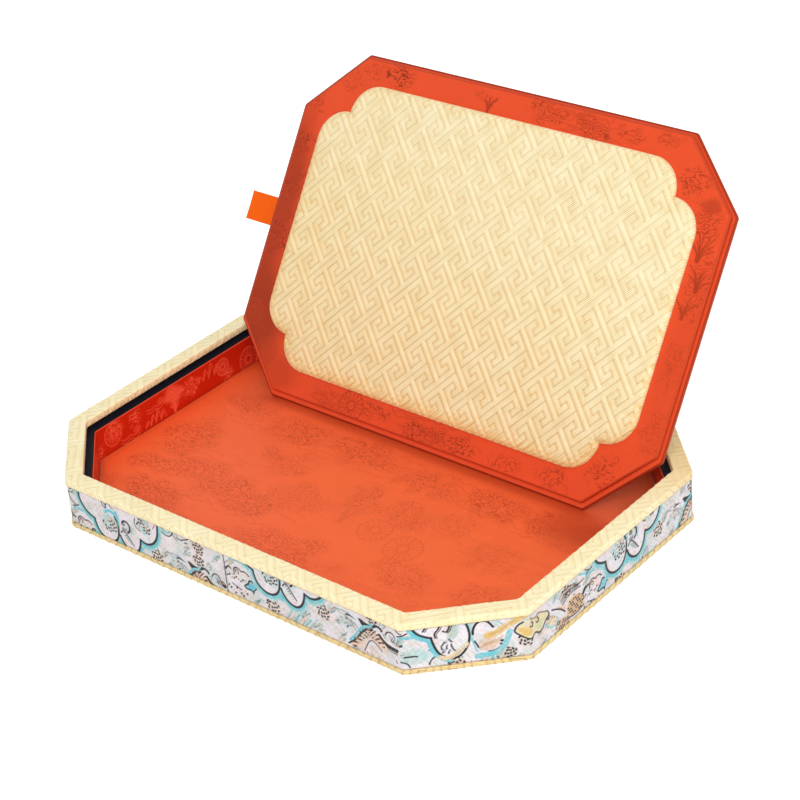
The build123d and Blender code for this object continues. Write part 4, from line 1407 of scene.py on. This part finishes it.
def floor_cloth():
    """Floor cloth: orange-red satin on the card, with low ripples, a few drag lines and the
    figures sunk a little into it. Its tone is deepened by painted shade: a contact shadow along the
    lid's foot, shadow towards the back under the leaning lid, and shade round the edge by the walls."""
    half_x, half_y = BOX_X - FLOOR_INSET, BOX_Y - FLOOR_INSET
    leg = CORNER - CORNER_SHARE * FLOOR_INSET
    x, y = octagon_rows(half_x, half_y, leg, FLOOR_CELL)
    tone, leafage, height = woven_tone(x, y, FLOOR_FIGURES)
    cut_corner = (half_x + half_y - leg - abs(x) - abs(y)) / math.sqrt(2)
    edge = np.minimum.reduce([half_x - abs(x), half_y - abs(y), cut_corner])
    held = smooth_step(edge, 0, 5)
    waves = 0.12 * ripple(x, y, 48, 41) + 0.05 * ripple(x, y, 15, 42)
    drag = np.zeros(x.shape)
    for px, py, length, width, rise in DRAG_LINES:
        along = (x - px) / length
        drag += rise * np.exp(-along ** 2 - ((y - py - 0.05 * (x - px)) / width) ** 2)
    z = FLOOR_TOP - 0.12 + (waves + drag) * held - 0.6 * height * held
    top = np.stack([x, y, np.maximum(z, FLOOR_CARD + 0.1)], -1)
    points, faces, border = closed_sheet(top, FLOOR_CARD)
    # Painted shade: a contact shadow along the lid's foot, shadow behind it, and shade by the walls.
    foot = FOOT_SHADOW_TONE * np.exp(-((y - FOOT_LINE) / FOOT_SHADOW_WIDTH) ** 2) * (1 - smooth_step(abs(x), 98, 114))
    behind, rim = 0.45 * smooth_step(y, 30, 78), 0.2 * np.exp(-(edge / 3) ** 2)
    tone = 1 - (1 - 0.8 * tone) * (1 - foot) * (1 - behind) * (1 - rim)
    values = {"figure": tone, "leafage": 0.6 * leafage}
    piece = make_piece("floor_cloth", points, faces, FLOOR_RED, "tray", "floor_jacquard",
                       *bordered(border, np.stack([x, y], -1), values))
    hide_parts("floor_lining")


# Lid pieces

# The "shade" entries deepen the tone round the border, most on the left strip and at the lower left:
# there they stand partly for the dense dark figure and partly for painted shade, the satin being darker
# on the side away from the light.
LID_FIGURES = [
    ("grove", -78, 87, 10, 1.0, 0.9), ("grove", -96, 86, 8, 0.4, 0.8), ("reeds", -18, 84, 5, 0.8),
    ("grove", -24, 88, 5, 0.6, 0.6), ("grove", 20, 87, 14, 0.7, 0.5),
    ("grove", 46, 84, 14, 0.8, 0.5), ("cloud", 40, 89, 5, 0.7), ("grove", 70, 86, 10, 0.6, 0.5),
    ("grove", 92, 88, 9, 0.5, 0.5), ("grove", 112, 72, 10, 0.7), ("pine", 124, 62, 6, 0.5),
    ("grove", 124, 54, 9, 0.7, 1.2), ("reeds", 125, 42, 9, 0.8), ("reeds", 129, 27, 8, 0.8),
    ("reeds", 126, 12, 7, 0.7), ("grove", 130, 24, 9, 0.5, 2.6), ("grove", 129, -16, 8, 0.45, 2.0),
    ("grove", 130, -50, 8, 0.4, 1.8), ("shade", 131, -20, 12, 0.14, 4.0), ("fan", -48, -87, 8, 0.8),
    ("grove", -64, -88, 12, 0.7, 0.5), ("grove", -32, -86, 12, 0.7, 0.5),
    ("grove", 0, -88, 16, 0.9, 0.45), ("grove", 26, -88, 14, 0.8, 0.45), ("rocks", 8, -90, 6, 0.6),
    ("grove", 54, -88, 12, 0.5, 0.5), ("grove", 84, -86, 12, 0.6, 0.5),
    ("grove", 110, -76, 10, 0.6), ("shade", 0, -87, 30, 0.14, 0.4),
    ("shade", -133, 2, 14, 0.74, 4.4), ("shade", -126, -58, 22, 0.85, 1.4),
    ("shade", -104, -84, 18, 0.42, 0.7), ("shore", 0, -88, 22, 0.5), ("shore", 40, 87, 20, 0.4),
    ("shore", -60, -87, 14, 0.4), ("shade", -60, -87, 26, 0.14, 0.4),
    ("grove", -130, 40, 9, 1.0, 1.2), ("grove", -130, 16, 10, 1.0, 1.4),
    ("grove", -129, -12, 11, 1.0, 1.4), ("rocks", -128, -2, 5, 0.8),
    ("grove", -130, -38, 9, 0.9, 1.4), ("reeds", -128, 24, 6, 0.8), ("fan", -131, -56, 7, 0.7),
    ("fan", -114, -74, 7, 0.6), ("grove", -122, -64, 12, 0.8), ("grove", -98, -86, 10, 0.5, 0.6),
    ("grove", -108, 80, 9, 0.35), ("grove", -128, 62, 7, 0.5, 1.6)]


def lid_panel_cloth(name, inset, lift, front, node, shown):
    """Cloth wrapped on one of the lid's two boards. Rings run from the middle of the front to the
    edge, round it, and in at the back to where the cloth stops, and return inside its thickness.
    The board whose front is shown has close rings and the figures. The sides are darkened by
    painted shade, most of all by a painted shadow where the two boards meet."""
    half_x, half_y, leg = LID_X - inset, LID_Y - inset, LID_CORNER - CORNER_SHARE * inset
    path = eight_sided_path(half_x, half_y, leg, LID_EASE, LID_STEP)
    places, moves, run = path
    back, r, bend = front - PANEL, FOLD, 6
    inner_ring, rings = SHOWN_RINGS if shown else HIDDEN_RINGS
    profile = np.concatenate([
        np.stack([np.linspace(inner_ring, r + 0.5, rings), np.full(rings, front)], 1),
        arc_points((r, front - r), r, 90, 180, bend),
        arc_points((r, back + r), r, 180, 270, bend),
        [(1.5, back), (4.0, back), (TURN_IN, back), (TURN_IN, back + CLOTH), (CLOTH, back + CLOTH),
         (CLOTH, front - CLOTH), (inner_ring, front - CLOTH)]])
    length = length_along(profile)
    plan = places[:, None] + profile[None, :, :1] * moves[:, None]
    x, y = plan[..., 0], plan[..., 1]
    joint = back if shown else front
    # Painted shade on the board's sides, deepest as a painted shadow where the two boards meet.
    side_shade = 0.5 + 0.5 * np.exp(-((profile[:, 1] - joint) / 0.7) ** 2)
    if shown:
        tone, leafage, height = woven_tone(x, y, LID_FIGURES)
    else:
        tone = leafage = height = np.zeros(x.shape)
    flat = ((profile[:, 0] > r + 0.4) & (profile[:, 1] > front - 0.01))[None]
    waves = 0.06 * ripple(x, y, 30, 51)
    rise = (waves + 0.5 * height) * flat * smooth_step(profile[None, :, 0], r, 3)
    shaped = np.repeat(profile[None], len(run), 0)
    shaped[..., 1] += np.minimum(rise, 0.06)
    points = swept(path, shaped)
    points[..., 1] += lift
    n, m = len(run), len(profile)
    quads = grid_quads(n, m, True, False).tolist()
    quads.append([i * m for i in range(n)])
    quads.append([i * m + m - 1 for i in range(n)][::-1])
    over = np.maximum(length - length[rings - 1], 0)
    kept_flat = places[:, None] + np.maximum(profile[None, :, :1], r) * moves[:, None]
    place = kept_flat + over[None, :, None] * outward_of(moves)[:, None]
    values = {"figure": 0.8 * np.maximum(tone, side_shade * ~flat), "leafage": 0.8 * leafage}
    piece = make_piece(name, points, quads, LID_RED, "lid", "lid_jacquard", place, values, lid=True)
    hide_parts(node)


def lobed_rows(step):
    """Heights of the cushion's rows, and its half width at each: straight sides, then for each
    corner two quarter circles, one over the other, that meet in a cusp."""
    straight = np.linspace(0, PAD_Y - 2 * LOBE, int(round((PAD_Y - 2 * LOBE) / step)) + 1)[:-1]
    turn = np.linspace(0, math.pi / 2, int(round(LOBE * math.pi / 2 / step)) + 1)
    side_y, side_x = PAD_Y - 2 * LOBE + LOBE * np.sin(turn), PAD_X - LOBE + LOBE * np.cos(turn)
    end_y, end_x = PAD_Y - LOBE + LOBE * np.sin(turn), PAD_X - 2 * LOBE + LOBE * np.cos(turn)
    y = np.concatenate([straight, side_y, end_y[1:]])
    width = np.concatenate([np.full(len(straight), PAD_X), side_x, end_x[1:]])
    return np.concatenate([-y[:0:-1], y]), np.concatenate([width[:0:-1], width])


def edge_distance(x, y):
    """Distance inwards from the cushion's outline, from its straight sides and its lobes."""
    u, v = abs(x), abs(y)
    depth = np.minimum(PAD_X - u, PAD_Y - v)
    side_x, side_y = PAD_X - LOBE, PAD_Y - 2 * LOBE
    end_x, end_y = PAD_X - 2 * LOBE, PAD_Y - LOBE
    past_side, past_end = (u > side_x) & (v > side_y), (u > end_x) & (v > end_y)
    depth = np.where(past_side, np.minimum(depth, LOBE - np.hypot(u - side_x, v - side_y)), depth)
    depth = np.where(past_end, np.minimum(depth, LOBE - np.hypot(u - end_x, v - end_y)), depth)
    inner = (u <= side_x) & (v <= end_y)
    depth = np.where(inner, np.minimum(depth, np.hypot(u - side_x, v - end_y)), depth)
    return np.maximum(depth, 0)


# The cushion's close columns, in from its edge, its lowest edge, the depth of its relief and how
# far that is sunk, how many small puckers it has, and how far apart the folds of its comb lie
PAD_CLOSE = [0.0, 0.15, 0.4, 0.7, 1.05, 1.45, 1.9, 2.4]
PAD_EDGE, PAD_RELIEF, PAD_SUNK = 0.5, 0.47, 0.42
PUCKERS, COMB_PITCH = 130, 3.1


def small_puckers(x, y):
    """Short dents that run in from the straight edges. Each is a bell across its place, and fades
    with the distance from the edge. Its side, place, reach and depth are drawn at random."""
    draw = np.random.default_rng(61)
    pucker = np.zeros(x.shape)
    for _ in range(PUCKERS):
        side, at = draw.integers(0, 4), draw.uniform(-1, 1)
        reach, deep = draw.uniform(1.8, 6.0), draw.uniform(0.08, 0.3)
        straight = (PAD_X, PAD_Y)[side // 2] - 2 * LOBE
        beside = (x, y)[side // 2] - at * straight
        from_edge = (PAD_Y - y, PAD_Y + y, PAD_X - x, PAD_X + x)[side]
        near = (abs(beside) < 3) & (from_edge < 12)
        pucker[near] -= deep * np.exp(-(beside[near] / 0.8) ** 2 - (from_edge[near] / reach) ** 2)
    return pucker


def cushion():
    """Cushion: rows across the lobed outline. Height is a rounded edge, plus a low dome, plus the
    fret's relief, less small puckers, gathers round the cusps, and a comb of even slanting folds
    along the edge, which is strongest at the bottom."""
    rows, width = lobed_rows(PAD_CELL)
    close, open_from = np.array(PAD_CLOSE) / PAD_X, 3.0 / PAD_X
    middle = np.linspace(-1 + open_from, 1 - open_from, PAD_COLUMNS)
    share = np.concatenate([-1 + close, middle, 1 - close[::-1]])
    x = share[:, None] * width[None]
    y = np.broadcast_to(rows[None], x.shape)
    depth = edge_distance(x, y)
    inward = np.clip(depth / PAD_ROUND, 0, 1)
    rounding = np.sqrt(np.maximum(0, 1 - (1 - inward) ** 2))
    crown = np.exp(-1.1 * ((x / PAD_X) ** 2 + (y / PAD_Y) ** 2))
    dome = PAD_DOME * crown * smooth_step(depth, 0, 30)
    z = PAD_EDGE + (PAD_HEIGHT - PAD_DOME - PAD_EDGE) * rounding + dome
    parts = fret(x, y)
    relief = (fret_relief(*parts, PAD_RELIEF) - PAD_SUNK) * smooth_step(depth, 0.1, 2.2)
    pucker = small_puckers(x, y)
    cusp_x, cusp_y = abs(x) - (PAD_X - LOBE), abs(y) - (PAD_Y - LOBE)
    cusp, around = np.hypot(cusp_x, cusp_y), np.arctan2(cusp_y, cusp_x)
    gather = 0.2 * np.cos(9 * around) * np.exp(-(cusp / 6.0) ** 2) - 0.3 * np.exp(-(cusp / 3.0) ** 2)
    lower = smooth_step(-y, 30, 84)
    slant = 0.75 * x - 0.66 * y + 0.8 * ripple(x, y, 14, 62)
    comb = 0.5 + 0.5 * np.cos(2 * math.pi * slant / COMB_PITCH)
    comb = comb * np.exp(-(depth / (3.2 + 2.4 * lower)) ** 2)
    z = z + relief + (pucker + gather - (0.35 + 0.5 * lower) * comb) * smooth_step(depth, 0.0, 1.0)
    points, faces, border = closed_sheet(np.stack([x, y + FACE_LIFT, z], -1), 0.0)
    values = groove_values(*parts, 1 - 0.5 * smooth_step(y + 0.2 * x, -50, 60))
    # Painted shade in the fold tone: warm shade and red reflection along the edge, most at the lower
    # left; shade in the comb's folds and in the puckers; and shade towards the lower left.
    edge_shade = np.exp(-(depth / 2.6) ** 2) * np.clip(0.5 - 0.005 * (x + 2 * y), 0, 1)
    shaded = 0.3 * smooth_step(-x - 2 * y, -150, 200)
    fold = values["fold"] + 0.8 * edge_shade + (0.3 + 0.9 * lower) * comb - 2.0 * pucker + shaded
    values["fold"] = np.clip(fold, 0, 1)
    piece = make_piece("cushion", points, faces, CREAM, "lid", "cushion_brocade",
                       *bordered(border, np.stack([x, y], -1), values), lid=True)
    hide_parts("cushion_cover", "cushion_wadding")


def ribbon_tab():
    """Ribbon tab: a flat strip with thick selvedges, from its root behind the lid to its free end,
    which has a soft wave."""
    far, near_root = -(LID_X + RIBBON_REACH), -(LID_X - RIBBON_ROOT)
    along = np.linspace(near_root, far, RIBBON_ROWS)
    half = RIBBON_WIDTH / 2
    across = np.linspace(-half, half, RIBBON_COLUMNS)
    x, y = np.meshgrid(along, across, indexing="ij")
    free = smooth_step(-LID_X - HINGE_GAP - x, 0, 8)
    middle = -LID_DEPTH - RIBBON_THICK / 2
    z = middle + free * (0.25 * np.sin((x + LID_X) / 5.2) + 0.12 * (y / half) ** 2)
    thick = RIBBON_THICK / 2 * (1 + 0.35 * smooth_step(abs(y), half - 0.9, half - 0.4) * free)
    top, bottom = z + thick * 0.98, z - thick * 0.98
    loop_x = np.concatenate([x, x[:, ::-1]], 1)
    loop_y = np.concatenate([y, y[:, ::-1]], 1)
    loop_z = np.concatenate([top, bottom[:, ::-1]], 1)
    points = np.stack([loop_x, loop_y, loop_z], -1)
    n, m = loop_x.shape
    quads = grid_quads(n, m, False, True).tolist()
    quads.append(list(range(m))[::-1])
    quads.append([(n - 1) * m + k for k in range(m)])
    place = np.stack([loop_x, loop_y + 40 * (np.arange(m) >= m // 2)], -1)
    piece = make_piece("ribbon_tab", points, quads, RIBBON, None, "ribbon_satin", place, lid=True)
    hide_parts("ribbon_root", "pull_ribbon")
    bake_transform(piece)


dress_cad_nodes()
rim_cover()
base_cover()
side_strips()
recess_cloth()
inner_wall_cloth()
floor_cloth()
lid_panel_cloth("lid_face_cloth", FACE_INSET, FACE_LIFT, 0.0, "lid_face_wrap", True)
lid_panel_cloth("lid_back_cloth", 0.0, 0.0, -PANEL, "lid_back_wrap", False)
cushion()
ribbon_tab()

# Camera: the photograph's own, in millimetres from a point above the tray's middle
CAMERA_YAW, CAMERA_PITCH, CAMERA_ROLL = 0.739, 0.538, -0.094
CAMERA_AWAY, CAMERA_SIDE, CAMERA_UP = 1071.862, 18.595, -5.048
CAMERA_AIM = np.array([0.0, 0.0, 60.0])
FOCUS, FRAME, SENSOR = 2173.297, 800, 36.0

looking = np.array([
    -math.sin(CAMERA_YAW) * math.cos(CAMERA_PITCH), math.cos(CAMERA_YAW) * math.cos(CAMERA_PITCH),
    -math.sin(CAMERA_PITCH)])
level = np.array([math.cos(CAMERA_YAW), math.sin(CAMERA_YAW), 0.0])
upright = np.cross(level, looking)
right = level * math.cos(CAMERA_ROLL) + upright * math.sin(CAMERA_ROLL)
up = upright * math.cos(CAMERA_ROLL) - level * math.sin(CAMERA_ROLL)
eye = CAMERA_AIM - looking * CAMERA_AWAY + right * CAMERA_SIDE + up * CAMERA_UP
camera_data = bpy.data.cameras.new("camera")
camera_data.sensor_width = SENSOR
camera_data.lens = FOCUS / FRAME * SENSOR
camera_data.clip_start, camera_data.clip_end = 0.05, 20.0
camera = bpy.data.objects.new("camera", camera_data)
camera.matrix_world = Matrix([
    (right[0], up[0], -looking[0], eye[0] * MM), (right[1], up[1], -looking[1], eye[1] * MM),
    (right[2], up[2], -looking[2], eye[2] * MM), (0, 0, 0, 1)])
bpy.context.scene.collection.objects.link(camera)
bpy.context.scene.camera = camera


def lamp(name, place, aim, size, power):
    """A square soft lamp at a place in metres, facing a point."""
    data = bpy.data.lights.new(name, "AREA")
    data.size, data.energy = size, power
    made = bpy.data.objects.new(name, data)
    back = np.array(place) - np.array(aim)
    back = back / np.linalg.norm(back)
    side = np.cross([0, 0, 1.0], back)
    side = side / np.linalg.norm(side)
    top = np.cross(back, side)
    rows = [(side[k], top[k], back[k], place[k]) for k in range(3)]
    made.matrix_world = Matrix(rows + [(0, 0, 0, 1)])
    bpy.context.scene.collection.objects.link(made)


LAMP_PLACE, LAMP_AIM = (0.75, -0.95, 1.05), (0, 0, 0.03)
LAMP_SIZE, LAMP_POWER = 0.6, 11
lamp("key", LAMP_PLACE, LAMP_AIM, LAMP_SIZE, LAMP_POWER)

# The room is bright overhead, a little to the right, and dim towards the horizon. It changes from
# dim to bright between two values of the cosine to the bright way.
BRIGHT_WAY = (0.48, -0.06, 0.87)
BRIGHT_FROM, BRIGHT_BY = 0.08, 0.5
DIM, BRIGHT = 0.11, 0.87
world = bpy.data.worlds.new("studio")
bpy.context.scene.world = world
world.use_nodes = True
tree = world.node_tree
tree.nodes.clear()
world_out = tree.nodes.new("ShaderNodeOutputWorld")
way = add_node(tree, "ShaderNodeTexCoord").outputs["Generated"]
facing = add_node(tree, "ShaderNodeVectorMath", {"operation": "DOT_PRODUCT"}, i0=way, i1=BRIGHT_WAY)
room_level = add_node(
    tree, "ShaderNodeMapRange", {"interpolation_type": "SMOOTHSTEP"}, i0=facing.outputs["Value"],
    i1=BRIGHT_FROM, i2=BRIGHT_BY, i3=DIM, i4=BRIGHT).outputs[0]
ambient = add_node(tree, "ShaderNodeBackground", Color=(1, 1, 1, 1), Strength=room_level)
white = add_node(tree, "ShaderNodeBackground", Color=(1, 1, 1, 1), Strength=1.0)
blend = add_node(
    tree, "ShaderNodeMixShader", i0=seen_ray(tree), i1=ambient.outputs[0], i2=white.outputs[0])
tree.links.new(blend.outputs[0], world_out.inputs[0])

# Floor: half its width and how far it lies under the object, in metres, and how bright it looks
FLOOR_SIZE, FLOOR_DROP = 3.0, 0.0004
FLOOR_GLOW = 0.45
floor_mesh = bpy.data.meshes.new("studio_floor")
ends = [(FLOOR_SIZE * x, FLOOR_SIZE * y, -FLOOR_DROP) for x, y in ((-1, -1), (1, -1), (1, 1), (-1, 1))]
floor_mesh.from_pydata(ends, [], [(0, 1, 2, 3)])
floor = bpy.data.objects.new("studio_floor", floor_mesh)
bpy.context.scene.collection.objects.link(floor)
floor_finish, tree, shader = new_finish("studio_floor")
shader.inputs["Base Color"].default_value = (0.9, 0.9, 0.9, 1)
shader.inputs["Roughness"].default_value = 0.9
tree.links.new(times(tree, seen_ray(tree), FLOOR_GLOW), shader.inputs["Emission Strength"])
shader.inputs["Emission Color"].default_value = (1, 1, 1, 1)
floor_mesh.materials.append(floor_finish)

bpy.context.scene.view_settings.view_transform = "Standard"
